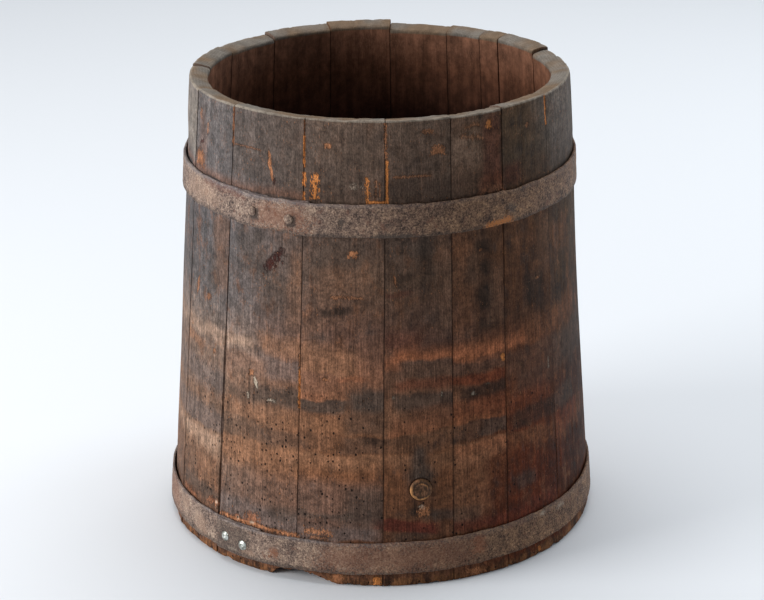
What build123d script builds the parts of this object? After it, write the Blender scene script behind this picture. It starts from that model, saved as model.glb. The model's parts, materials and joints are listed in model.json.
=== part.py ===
"""Open-topped coopered tub: tapered staves held by two riveted iron hoops, a
doweled bottom head seated in a croze groove, and a wooden bung in the tap hole.

Millimetres and degrees. The origin is the centre of the base, +Z is up and the
front is -Y. An azimuth is measured from the front towards +X.
"""

from build123d import *
import os
from math import atan2, cos, degrees, radians, sin

# Body
STAVE_LENGTH = 450.0
BASE_RADIUS = 213.2
TOP_RADIUS = 181.8
WALL = 18.0
RIM_CHAMFER = 1.5
CHIME_CHAMFER = 3.0

# Staves: azimuth where each one starts, how far its top stands above or below
# the nominal length, and how far its outer and inner faces lie inside nominal
STAVES = [
    (1.5, 0.0, 0.0, 0.3),
    (20.5, -0.5, 0.3, 0.0),
    (38.0, 0.8, 0.1, -0.4),
    (56.5, 0.0, 0.4, 0.5),
    (87.0, -3.5, 0.2, -0.6),
    (114.0, 0.5, 0.0, 0.4),
    (133.5, 0.0, 0.5, -0.5),
    (141.7, -0.5, 0.1, 0.6),
    (154.8, -1.5, 0.3, -0.3),
    (175.5, 2.5, 0.0, 0.5),
    (197.0, 1.0, 0.4, -0.6),
    (219.5, -1.5, 0.1, 0.2),
    (242.0, 0.0, 0.3, -0.2),
    (263.5, -1.5, 0.0, 0.6),
    (291.5, -0.5, 0.5, -0.4),
    (313.0, 0.0, 0.2, 0.3),
    (339.0, 0.0, 0.1, 0.0),
]

# Bottom head, which sits in a groove near the foot of the staves
HEAD_MIDDLE = 42.0
HEAD_THICKNESS = 18.0
HEAD_JOINTS = [-120.0, -37.0, 45.0, 124.0]
CROZE_WIDTH = 7.4
CROZE_DEPTH = 5.5
CROZE_FIT = 0.1
TONGUE_LENGTH = 7.5
BEVEL_LENGTH = 34.0
DOWEL_DIAMETER = 8.0
DOWEL_LENGTH = 36.0
DOWEL_SPREAD = 76.0

# Hoops
HOOP_THICKNESS = 2.4
HOOP_FIT = 0.15
LAP_GAP = 0.1
JOGGLE = 11.0
UPPER_HOOP = {"low": 342.1, "high": 373.0, "outer_end": -43.5, "inner_end": -19.5}
LOWER_HOOP = {"low": 12.7, "high": 44.1, "outer_end": -47.6, "inner_end": -33.0}

# Fasteners: azimuth and height of each one
UPPER_RIVETS = [(-37.2, 356.5), (-25.3, 355.0)]
LOWER_RIVETS = [(-44.4, 25.0), (-38.2, 22.5)]
RIVET_SHANK = 5.0
RIVET_FIT = 0.05
DOMED_HEAD = (9.4, 2.8)
BLIND_HEAD = (9.0, 1.5)
BLIND_CORE = 3.2
HOOP_NAIL = (38.7, 352.0)
NAIL_HEAD = (6.0, 1.1)
NAIL_SHANK = 2.6
NAIL_REACH = 12.0
EMPTY_NAIL_HOLE = (61.5, 29.0)
EMPTY_NAIL_DIAMETER = 4.0

# Bung, in a tapered hole bored square to the stave
BUNG = (10.3, 96.0)
BUNG_DIAMETER = 21.0
BUNG_TAPER = 1 / 14
BUNG_PROUD = 3.0
BUNG_INSIDE = 4.0
BUNG_FIT = 0.05
BUNG_EDGE = 1.2

# Broken chime under the joint between the last two staves, as azimuth and height
CHIME_BREAK = [(-27.5, -1.0), (-27.2, 6.5), (-23.0, 8.5), (-20.5, 11.5), (-15.5, 7.0), (-10.0, -1.0)]


def outer_radius(z):
    """Radius of the nominal outer cone at height z."""
    return BASE_RADIUS + (TOP_RADIUS - BASE_RADIUS) * z / STAVE_LENGTH


LEAN = degrees(atan2(BASE_RADIUS - TOP_RADIUS, STAVE_LENGTH))
CROZE_RADIUS = outer_radius(HEAD_MIDDLE) - WALL + CROZE_DEPTH


def around(azimuth):
    """Turns what is drawn in the XZ half plane to the given azimuth."""
    return Rot(0, 0, azimuth - 90)


def surface_plane(azimuth, z, proud=0.0):
    """Plane on the outer cone, its z axis square to the wall and pointing out."""
    a, lean = radians(azimuth), radians(LEAN)
    out = Vector(cos(lean) * sin(a), -cos(lean) * cos(a), sin(lean))
    r = outer_radius(z)
    foot = Vector(r * sin(a), -r * cos(a), z)
    return Plane(origin=foot + out * proud, x_dir=(cos(a), sin(a), 0), z_dir=out)


def half_plane_face(points):
    """Face in the XZ plane from (radius, height) points."""
    return Plane.XZ * make_face(Polyline(*points, close=True))


# Staves


def stave_profile(top, outer_drop, inner_drop):
    """Section of one stave through its length."""
    top_z = STAVE_LENGTH + top

    def outside(z):
        return outer_radius(z) - outer_drop

    def inside(z):
        return outer_radius(z) - WALL - inner_drop

    groove_low = HEAD_MIDDLE - CROZE_WIDTH / 2
    groove_high = HEAD_MIDDLE + CROZE_WIDTH / 2
    return [
        (inside(0) + CHIME_CHAMFER, 0),
        (outside(0), 0),
        (outside(top_z - RIM_CHAMFER), top_z - RIM_CHAMFER),
        (outside(top_z) - RIM_CHAMFER, top_z),
        (inside(top_z) + RIM_CHAMFER, top_z),
        (inside(top_z - RIM_CHAMFER), top_z - RIM_CHAMFER),
        (inside(groove_high), groove_high),
        (CROZE_RADIUS, groove_high),
        (CROZE_RADIUS, groove_low),
        (inside(groove_low), groove_low),
        (inside(CHIME_CHAMFER), CHIME_CHAMFER),
    ]


def make_stave(number):
    start, top, outer_drop, inner_drop = STAVES[number]
    end = STAVES[(number + 1) % len(STAVES)][0]
    width = (end - start) % 360
    face = half_plane_face(stave_profile(top, outer_drop, inner_drop))
    return around(start) * revolve(face, Axis.Z, revolution_arc=width)


def make_chime_break():
    """Cutter for the wood broken out of the foot, drawn square to its middle."""
    middle = (CHIME_BREAK[0][0] + CHIME_BREAK[-1][0]) / 2
    outline = [(BASE_RADIUS * sin(radians(a - middle)), z) for a, z in CHIME_BREAK]
    direction = Vector(sin(radians(middle)), -cos(radians(middle)), 0)
    across = (cos(radians(middle)), sin(radians(middle)), 0)
    plane = Plane(origin=direction * (BASE_RADIUS - 2 * WALL), x_dir=across, z_dir=direction)
    return extrude(plane * make_face(Polyline(*outline, close=True)), 3 * WALL)


def make_nail_hole(place, diameter, reach):
    """Straight hole into the wall, from outside the hoop."""
    start = surface_plane(*place, proud=2 * HOOP_THICKNESS)
    length = reach + 2 * HOOP_THICKNESS
    return start * Pos(0, 0, -length / 2) * Cylinder(diameter / 2, length)


# Hoops


def hoop_section(hoop, azimuth, lift):
    """Section of the strip, lifted off the wall by the given amount."""
    low, high = hoop["low"], hoop["high"]
    inner = HOOP_FIT + lift
    outer = inner + HOOP_THICKNESS
    points = [
        (outer_radius(low) + inner, low),
        (outer_radius(low) + outer, low),
        (outer_radius(high) + outer, high),
        (outer_radius(high) + inner, high),
    ]
    return around(azimuth) * half_plane_face(points)


def make_hoop(hoop, rivets):
    """Strip bent round the tub, its outer end lapped over its inner end."""
    inner_end, outer_end = hoop["inner_end"], hoop["outer_end"]
    lift = HOOP_THICKNESS + LAP_GAP
    lap_start = inner_end + 1.5
    joggle_start = lap_start + JOGGLE
    ring_arc = inner_end + 360 - joggle_start
    ring = revolve(hoop_section(hoop, joggle_start, 0), Axis.Z, revolution_arc=ring_arc)
    lap = revolve(hoop_section(hoop, outer_end, lift), Axis.Z, revolution_arc=lap_start - outer_end)
    steps = 6
    sections = []
    for step in range(steps + 1):
        t = step / steps
        rise = t * t * (3 - 2 * t)
        sections.append(hoop_section(hoop, joggle_start - t * JOGGLE, rise * lift))
    strip = ring + loft(sections) + lap
    for place in rivets:
        strip -= make_rivet_hole(place)
    return strip


# Fasteners


def make_rivet_hole(place):
    plane = surface_plane(*place)
    return plane * Cylinder(RIVET_SHANK / 2 + RIVET_FIT, 8 * HOOP_THICKNESS)


def dome(diameter, height):
    """Spherical cap standing on the XY plane."""
    radius = (diameter**2 / 4 + height**2) / (2 * height)
    ball = Pos(0, 0, height - radius) * Sphere(radius)
    return ball & Pos(0, 0, height / 2) * Cylinder(diameter / 2, height)


def make_rivet(place, head, core=0.0):
    """Rivet through both layers of a lap, its tail flush with the inner layer."""
    lap_outside = HOOP_FIT + 2 * HOOP_THICKNESS + LAP_GAP
    shank_length = 2 * HOOP_THICKNESS + LAP_GAP
    body = dome(*head) + Pos(0, 0, -shank_length / 2) * Cylinder(RIVET_SHANK / 2, shank_length)
    if core:
        body -= Pos(0, 0, head[1]) * Cylinder(core / 2, head[1])
    return surface_plane(*place, proud=lap_outside + 0.05) * body


def make_nail():
    head_diameter, head_height = NAIL_HEAD
    shank = Pos(0, 0, -NAIL_REACH / 2) * Cylinder(NAIL_SHANK / 2, NAIL_REACH)
    body = dome(head_diameter, head_height) + shank
    return surface_plane(*HOOP_NAIL, proud=HOOP_FIT + HOOP_THICKNESS + 0.05) * body


# Bottom head


def make_head_disc():
    """Whole head with its rim bevelled down to a tongue that fits the groove."""
    radius = CROZE_RADIUS - CROZE_FIT
    tongue = CROZE_WIDTH / 2 - CROZE_FIT
    half = HEAD_THICKNESS / 2
    points = [
        (0, HEAD_MIDDLE - half),
        (radius - BEVEL_LENGTH, HEAD_MIDDLE - half),
        (radius - TONGUE_LENGTH, HEAD_MIDDLE - tongue),
        (radius, HEAD_MIDDLE - tongue),
        (radius, HEAD_MIDDLE + tongue),
        (radius - TONGUE_LENGTH, HEAD_MIDDLE + tongue),
        (radius - BEVEL_LENGTH, HEAD_MIDDLE + half),
        (0, HEAD_MIDDLE + half),
    ]
    return revolve(half_plane_face(points), Axis.Z)


def make_dowels():
    """Two dowels across each joint of the head."""
    dowels = []
    for x in HEAD_JOINTS:
        for y in (-DOWEL_SPREAD, DOWEL_SPREAD):
            peg = Rot(0, 90, 0) * Cylinder(DOWEL_DIAMETER / 2, DOWEL_LENGTH)
            dowels.append(Pos(x, y, HEAD_MIDDLE) * peg)
    return dowels


def make_head_board(number, disc, dowels):
    edges = [-BASE_RADIUS, *HEAD_JOINTS, BASE_RADIUS]
    left, right = edges[number], edges[number + 1]
    slab = Pos((left + right) / 2, 0, HEAD_MIDDLE) * Box(right - left, 2 * BASE_RADIUS, HEAD_THICKNESS)
    board = disc & slab
    for dowel in dowels:
        board -= dowel
    return board


# Bung


def make_plug(radial_play):
    """Tapered plug along +Z, with z = 0 where it leaves the outer face."""
    length = WALL + BUNG_INSIDE
    mouth = BUNG_DIAMETER / 2 + radial_play
    slope = BUNG_TAPER / 2
    big = mouth + BUNG_PROUD * slope
    small = mouth - length * slope
    whole = BUNG_PROUD + length
    return Pos(0, 0, BUNG_PROUD - whole / 2) * Cone(small, big, whole)


def make_bung():
    plug = make_plug(0)
    ends = plug.edges().group_by(Axis.Z)
    plug = chamfer([ends[0][0], ends[-1][0]], BUNG_EDGE)
    return surface_plane(*BUNG) * plug


def save(name, shape):
    export_step(shape, os.path.join("parts", name + ".step"))


def main():
    os.makedirs("parts", exist_ok=True)
    chime_break = make_chime_break()
    tap_hole = surface_plane(*BUNG) * make_plug(BUNG_FIT)
    nail_hole = make_nail_hole(HOOP_NAIL, NAIL_SHANK + 2 * RIVET_FIT, NAIL_REACH)
    old_nail_hole = make_nail_hole(EMPTY_NAIL_HOLE, EMPTY_NAIL_DIAMETER, NAIL_REACH)
    cuts = {0: [tap_hole], 2: [nail_hole], 3: [old_nail_hole], 15: [chime_break], 16: [chime_break]}
    for number in range(len(STAVES)):
        stave = make_stave(number)
        for cutter in cuts.get(number, []):
            stave -= cutter
        save(f"stave_{number + 1:02d}", stave)

    save("upper_hoop", make_hoop(UPPER_HOOP, UPPER_RIVETS) - nail_hole)
    save("lower_hoop", make_hoop(LOWER_HOOP, LOWER_RIVETS) - old_nail_hole)
    save("upper_hoop_rivets", Compound([make_rivet(p, DOMED_HEAD) for p in UPPER_RIVETS]))
    save("lower_hoop_rivets", Compound([make_rivet(p, BLIND_HEAD, BLIND_CORE) for p in LOWER_RIVETS]))
    save("hoop_nail", make_nail())

    disc = make_head_disc()
    dowels = make_dowels()
    for number in range(len(HEAD_JOINTS) + 1):
        save(f"head_board_{number + 1}", make_head_board(number, disc, dowels))
    save("head_dowels", Compound(dowels))
    save("bung", make_bung())


main()
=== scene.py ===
"""Looks of the coopered tub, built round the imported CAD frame.

Shapes are worked out in millimetres in the tub's own cylinder coordinates: azimuth in degrees
from the front (-Y) towards +X, radius, and height above the base. They become metres at the end.
"""

import json
import math
import random

import bmesh
import bpy
import numpy as np
from mathutils import Matrix, Quaternion, Vector


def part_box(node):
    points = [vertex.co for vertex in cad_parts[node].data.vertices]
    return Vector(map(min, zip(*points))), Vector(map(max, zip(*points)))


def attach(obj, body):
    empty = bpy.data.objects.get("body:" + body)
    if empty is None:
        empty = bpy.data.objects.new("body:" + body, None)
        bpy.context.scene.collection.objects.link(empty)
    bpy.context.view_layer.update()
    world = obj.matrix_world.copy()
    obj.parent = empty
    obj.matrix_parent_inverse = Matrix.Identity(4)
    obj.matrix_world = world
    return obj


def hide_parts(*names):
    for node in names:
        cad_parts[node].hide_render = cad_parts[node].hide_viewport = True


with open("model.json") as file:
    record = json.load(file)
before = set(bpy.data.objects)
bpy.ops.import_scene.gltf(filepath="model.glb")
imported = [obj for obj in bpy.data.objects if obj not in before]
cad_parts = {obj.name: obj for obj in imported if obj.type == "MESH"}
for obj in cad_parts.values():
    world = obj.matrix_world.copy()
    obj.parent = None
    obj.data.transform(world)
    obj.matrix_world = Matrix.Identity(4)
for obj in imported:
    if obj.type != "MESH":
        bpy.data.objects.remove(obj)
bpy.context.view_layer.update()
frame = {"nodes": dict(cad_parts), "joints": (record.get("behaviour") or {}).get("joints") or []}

MM = 0.001
NODES = frame["nodes"]
STAVE_NAMES = sorted(name for name in NODES if name.startswith("stave_"))


# ==== Measures from the frame


def cylinder_points(node):
    """A CAD node's points: azimuth from the node's own middle, that middle, radius and height."""
    points = np.array([v.co for v in NODES[node].data.vertices]) / MM
    middle = math.degrees(math.atan2(points[:, 0].mean(), -points[:, 1].mean()))
    azimuth = np.degrees(np.arctan2(points[:, 0], -points[:, 1]))
    offset = (azimuth - middle + 180) % 360 - 180
    return offset, middle, np.hypot(points[:, 0], points[:, 1]), points[:, 2]


def measure_cone():
    """Outer radius at the base and how much it shrinks per millimetre of height."""
    _, _, radius, height = cylinder_points(STAVE_NAMES[0])
    foot = radius[height < 1].max()
    high = height > height.max() - 2.5
    top = radius[high].argmax()
    return foot, (foot - radius[high][top]) / height[high][top]


BASE_RADIUS, TAPER = measure_cone()
LEAN = math.atan(TAPER)

# Thickness of the staves
WALL = 18.0


def outer_radius(z):
    return BASE_RADIUS - TAPER * z


def arc_mm(degrees, z):
    """Length of an arc of the outer face."""
    return np.radians(degrees) * outer_radius(z)


# ==== Noise


def lattice(ix, iy, seed):
    """Fixed random numbers from -1 to 1 at whole-number places."""
    n = (ix * 374761393 + iy * 668265263 + seed * 974634777) & 0xFFFFFFFF
    n = ((n ^ (n >> 13)) * 1274126177) & 0xFFFFFFFF
    return ((n ^ (n >> 16)) & 0xFFFF) / 32767.5 - 1


def noise(x, y, seed):
    """Smooth noise from -1 to 1 that changes over one unit of x and y."""
    x, y = np.broadcast_arrays(np.asarray(x, float), np.asarray(y, float))
    ix, iy = np.floor(x).astype(np.int64), np.floor(y).astype(np.int64)
    u, v = x - ix, y - iy
    u, v = u * u * (3 - 2 * u), v * v * (3 - 2 * v)
    low = lattice(ix, iy, seed) * (1 - u) + lattice(ix + 1, iy, seed) * u
    high = lattice(ix, iy + 1, seed) * (1 - u) + lattice(ix + 1, iy + 1, seed) * u
    return low * (1 - v) + high * v


def rough(x, y, seed, octaves=3):
    """Noise with finer and weaker noise on it."""
    total = 0
    for octave in range(octaves):
        total = total + noise(x * 2**octave, y * 2**octave, seed + 17 * octave) / 2**octave
    return total


def ease(t):
    """Smooth step from 0 to 1."""
    t = np.clip(t, 0, 1)
    return t * t * (3 - 2 * t)


def hump(x, middle, half_width):
    """Smooth hump from 0 to 1 and back."""
    return ease(1 - np.abs(x - middle) / half_width)


# ==== Mesh making

FINE_STEPS = [0.0, 0.3, 0.7, 1.2, 1.9, 2.8]


def spaced(length, step):
    """Places from 0 to length, close together at both ends."""
    inside = length - 2 * FINE_STEPS[-1]
    count = max(2, round(inside / step))
    middle = [FINE_STEPS[-1] + inside * i / count for i in range(1, count)]
    return np.array(FINE_STEPS + middle + [length - f for f in reversed(FINE_STEPS)])


def box_shell(a, b, c):
    """Grid points on the six sides of a box, and the four-cornered faces between them."""
    na, nb, nc = len(a) - 1, len(b) - 1, len(c) - 1
    i, j, k = np.meshgrid(range(na + 1), range(nb + 1), range(nc + 1), indexing="ij")
    skin = (i == 0) | (i == na) | (j == 0) | (j == nb) | (k == 0) | (k == nc)
    number = np.full(skin.shape, -1)
    number[skin] = np.arange(skin.sum())
    points = np.stack([a[i[skin]], b[j[skin]], c[k[skin]]], axis=-1)
    sides = [
        (number[0], True),
        (number[-1], False),
        (number[:, 0], False),
        (number[:, -1], True),
        (number[:, :, 0], True),
        (number[:, :, -1], False),
    ]
    faces = []
    for sheet, flip in sides:
        corners = [sheet[:-1, :-1], sheet[1:, :-1], sheet[1:, 1:], sheet[:-1, 1:]]
        quads = np.stack(corners, axis=-1).reshape(-1, 4)
        faces.append(quads[:, ::-1] if flip else quads)
    return points, np.concatenate(faces)


def rounded(points, size, radius):
    """Rounds a box's edges. size and radius are each three numbers or arrays."""
    result = []
    for axis in range(3):
        r = np.minimum(radius[axis], size[axis] / 2 - 1e-6)
        core = np.clip(points[:, axis], r, size[axis] - r)
        result.append((core, (points[:, axis] - core) / r, r))
    length = np.sqrt(sum(over**2 for _, over, _ in result))
    biggest = np.maximum.reduce([np.abs(over) for _, over, _ in result])
    shrink = np.where(length > 1e-9, biggest / np.maximum(length, 1e-9), 1)
    return [core + over * shrink * r for core, over, r in result]


def from_cylinder(azimuth, radius, z):
    a = np.radians(azimuth)
    return np.stack([radius * np.sin(a), -radius * np.cos(a), z], axis=-1)


def make_object(name, points_mm, faces, material):
    """A smooth-shaded object from points in millimetres."""
    mesh = bpy.data.meshes.new(name)
    faces = [tuple(int(i) for i in face) for face in faces]
    mesh.from_pydata((np.asarray(points_mm) * MM).tolist(), [], faces)
    work = bmesh.new()
    work.from_mesh(mesh)
    bmesh.ops.recalc_face_normals(work, faces=work.faces)
    work.to_mesh(mesh)
    work.free()
    mesh.shade_smooth()
    mesh.materials.append(material)
    obj = bpy.data.objects.new(name, mesh)
    bpy.context.scene.collection.objects.link(obj)
    return obj


def lathe(profile, segments, bend=None):
    """Closed turned shape round +Z from (radius, height) points that start and end on the axis."""
    rings = profile[1:-1]
    points = [(0, 0, profile[0][1])]
    for radius, height in rings:
        for s in range(segments):
            a = 2 * math.pi * s / segments
            points.append((radius * math.cos(a), radius * math.sin(a), height))
    points.append((0, 0, profile[-1][1]))
    faces = []
    last = len(points) - 1
    for s in range(segments):
        t = (s + 1) % segments
        faces.append((0, 1 + t, 1 + s))
        for ring in range(len(rings) - 1):
            a, b = 1 + ring * segments, 1 + (ring + 1) * segments
            faces.append((a + s, a + t, b + t, b + s))
        top = 1 + (len(rings) - 1) * segments
        faces.append((top + s, top + t, last))
    points = np.array(points, float)
    if bend is not None:
        points = bend(points)
    return points, faces


def surface_matrix(azimuth, z, proud=0.0):
    """Places +Z square to the wall at that azimuth and height, pointing out, in millimetres."""
    a = math.radians(azimuth)
    out = Vector((math.cos(LEAN) * math.sin(a), -math.cos(LEAN) * math.cos(a), math.sin(LEAN)))
    across = Vector((math.cos(a), math.sin(a), 0))
    up = out.cross(across)
    r = outer_radius(z)
    foot = Vector((r * math.sin(a), -r * math.cos(a), z)) + out * proud
    rotation = Matrix((across, up, out)).transposed()
    return Matrix.Translation(foot) @ rotation.to_4x4()


def placed(points, matrix):
    turn = np.array(matrix.to_3x3())
    return points @ turn.T + np.array(matrix.translation)


def carve(obj, cutter_points, cutter_faces):
    """Cuts a closed shape out of an object and keeps the result as its mesh."""
    cutter = make_object("cutter", cutter_points, cutter_faces, obj.data.materials[0])
    cut = obj.modifiers.new("cut", "BOOLEAN")
    cut.operation = "DIFFERENCE"
    cut.solver = "EXACT"
    cut.object = cutter
    graph = bpy.context.evaluated_depsgraph_get()
    mesh = bpy.data.meshes.new_from_object(obj.evaluated_get(graph))
    obj.modifiers.clear()
    old = obj.data
    obj.data = mesh
    bpy.data.meshes.remove(old)
    bpy.data.objects.remove(cutter)
    mesh.shade_smooth()


def joined(shapes):
    """Several (points, faces) shapes as one."""
    points, faces, start = [], [], 0
    for shape_points, shape_faces in shapes:
        points.append(shape_points)
        faces.extend([tuple(i + start for i in face) for face in shape_faces])
        start += len(shape_points)
    return np.concatenate(points), faces


# ==== Material building


def srgb(code, gain=1.0):
    """Linear colour with alpha from six hex digits."""
    values = [int(code[i : i + 2], 16) / 255 for i in (0, 2, 4)]
    linear = [v / 12.92 if v <= 0.04045 else ((v + 0.055) / 1.055) ** 2.4 for v in values]
    return (*[min(1.0, v * gain) for v in linear], 1.0)


class Tree:
    """Short calls that build one material's nodes. Inputs are numbers, colours or sockets."""

    def __init__(self, name):
        self.material = bpy.data.materials.new(name)
        self.material.use_nodes = True
        self.nodes = self.material.node_tree.nodes
        self.links = self.material.node_tree.links
        self.shader = self.nodes["Principled BSDF"]

    def plug(self, socket, value):
        if isinstance(value, bpy.types.NodeSocket):
            self.links.new(value, socket)
        elif value is not None:
            socket.default_value = value

    def node(self, kind, inputs, **settings):
        """New node with its settings made and its inputs, given by name or number, plugged in."""
        node = self.nodes.new("ShaderNode" + kind)
        for setting, value in settings.items():
            setattr(node, setting, value)
        for key, value in inputs.items():
            self.plug(node.inputs[key], value)
        return node

    def math(self, operation, a, b=None):
        return self.node("Math", {0: a, 1: b}, operation=operation).outputs[0]

    def add(self, a, b):
        return self.math("ADD", a, b)

    def times(self, a, b):
        return self.math("MULTIPLY", a, b)

    def step(self, value, low, high, to_low=0.0, to_high=1.0):
        """Smooth change from to_low to to_high as value goes from low to high."""
        inputs = {
            "Value": value, "From Min": low, "From Max": high, "To Min": to_low, "To Max": to_high,
        }
        return self.node("MapRange", inputs, interpolation_type="SMOOTHSTEP").outputs["Result"]

    def vary(self, noise, low, high):
        """Number from low to high that follows a noise, whose values mostly lie from 0.3 to 0.7."""
        return self.step(noise, 0.3, 0.7, low, high)

    def signed(self, noise, amount):
        """Noise about zero, times amount."""
        return self.times(self.add(noise, -0.5), amount)

    def vector(self, x, y, z):
        return self.node("CombineXYZ", {"X": x, "Y": y, "Z": z}).outputs[0]

    def noise(self, vector, scale=1.0, detail=2.0, roughness=0.5, distortion=0.0):
        inputs = {
            "Vector": vector, "Scale": scale, "Detail": detail, "Roughness": roughness,
            "Distortion": distortion,
        }
        return self.node("TexNoise", inputs).outputs["Fac"]

    def cells(self, vector, scale=1.0, dimensions="3D"):
        """Distance to the nearest of scattered points, and that point's random colour."""
        inputs = {"Vector": vector, "Scale": scale}
        node = self.node("TexVoronoi", inputs, voronoi_dimensions=dimensions)
        return node.outputs["Distance"], node.outputs["Color"]

    def ramp(self, value, stops):
        """Colour that changes with value through stops, each a place and six hex digits."""
        node = self.node("ValToRGB", {"Fac": value})
        elements = node.color_ramp.elements
        while len(elements) < len(stops):
            elements.new(0.5)
        for element, (place, code) in zip(elements, stops):
            element.position = place
            element.color = srgb(code)
        return node.outputs["Color"]

    def mix(self, amount, a, b, **settings):
        """Colour between a and b. A mix node's colour inputs are numbers 6 and 7."""
        return self.node("Mix", {0: amount, 6: a, 7: b}, data_type="RGBA", **settings).outputs[2]

    def paint(self, colour, amount, code):
        """Lays a flat paint over a colour."""
        return self.mix(amount, colour, srgb(code))

    def scale_colour(self, colour, amount):
        """Colour times a number. An unclamped mix from black needs no conversion between types."""
        return self.mix(amount, (0, 0, 0, 1), colour, clamp_factor=False)

    def channel(self, colour, index):
        return self.node("SeparateColor", {0: colour}).outputs[index]

    def bump(self, height, distance_mm):
        inputs = {"Height": height, "Distance": distance_mm * MM, "Strength": 1.0}
        return self.node("Bump", inputs).outputs["Normal"]

    def coordinates(self):
        """The tub's own coordinates, in metres."""
        return self.node("TexCoord", {}).outputs["Object"]

    def spot(self, scale=(1, 1, 1), location=(0, 0, 0), rotation=(0, 0, 0)):
        """The tub's own coordinates in millimetres, scaled, turned and then shifted."""
        inputs = {"Rotation": rotation, "Scale": [s / MM for s in scale], "Location": location}
        inputs["Vector"] = self.coordinates()
        return self.node("Mapping", inputs).outputs[0]

    def split(self, vector):
        return self.node("SeparateXYZ", {0: vector}).outputs

    def length(self, x, y):
        return self.math("SQRT", self.add(self.times(x, x), self.times(y, y)))

    def place(self, turn_degrees=0.0):
        """Angle from the given azimuth, radius and height, in radians and millimetres."""
        x, y, z = self.split(self.spot(rotation=(0, 0, -math.radians(turn_degrees))))
        angle = self.math("ARCTAN2", x, self.times(y, -1.0))
        return angle, self.length(x, y), z

    def finish(self, colour, roughness, normal, metallic=0.0, specular=0.4):
        inputs = {
            "Base Color": colour, "Roughness": roughness, "Normal": normal, "Metallic": metallic,
            "Specular IOR Level": specular,
        }
        for key, value in inputs.items():
            self.plug(self.shader.inputs[key], value)
        return self.material


# ==== Stains and scrapes

# Base colour (albedo) of the outside by height, on the left, in front, on the right and beyond. Besides
# the wood's own bands, the paler grey left holds a painted sheen, the darker, warmer right painted shade,
# and the pale top beyond a painted rim light
SKIN_AND_SIDE_LIGHT = {
    "left": [
        (0, "583c2e"), (60, "644c3e"), (110, "725542"), (190, "705a4c"), (235, "6e6058"), (262, "585250"),
        (330, "545050"), (452, "605a58"),
    ],
    "front": [
        (0, "603e2c"), (60, "5e3e2c"), (100, "704830"), (160, "724c34"), (205, "78523e"), (250, "5c4236"),
        (300, "5c4638"), (345, "544238"), (452, "625044"),
    ],
    "right": [
        (0, "582c18"), (80, "522412"), (160, "60321c"), (205, "663c26"), (250, "4c3020"), (300, "583824"),
        (345, "523624"), (400, "48382a"), (452, "54402e"),
    ],
    "beyond": [
        (0, "441e0a"), (100, "321608"), (160, "341c10"), (205, "3e2616"), (250, "382414"),
        (345, "42301f"), (400, "52473e"), (452, "60554c"),
    ],
}

# Base colour of the inside, by share of the height, darkening downwards as painted shade of the tub's
# depths
INSIDE = [(0.1, "1c110c"), (0.62, "24150f"), (0.78, "41271e"), (0.9, "63402f"), (1.0, "845d49")]

PAINT = {
    "tan": "845d44", "pale": "9c806c", "orange": "945a3c", "red": "6e3823", "brown": "664b3b",
    "grey": "5f5653", "dark": "453a33", "black": "2c221c", "rust": "84573f", "bare": "b4713c",
    "raw": "946242", "white": "b9ab98", "blood": "2e120d", "wine": "5a2b20", "umber": "744a31",
}

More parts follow.
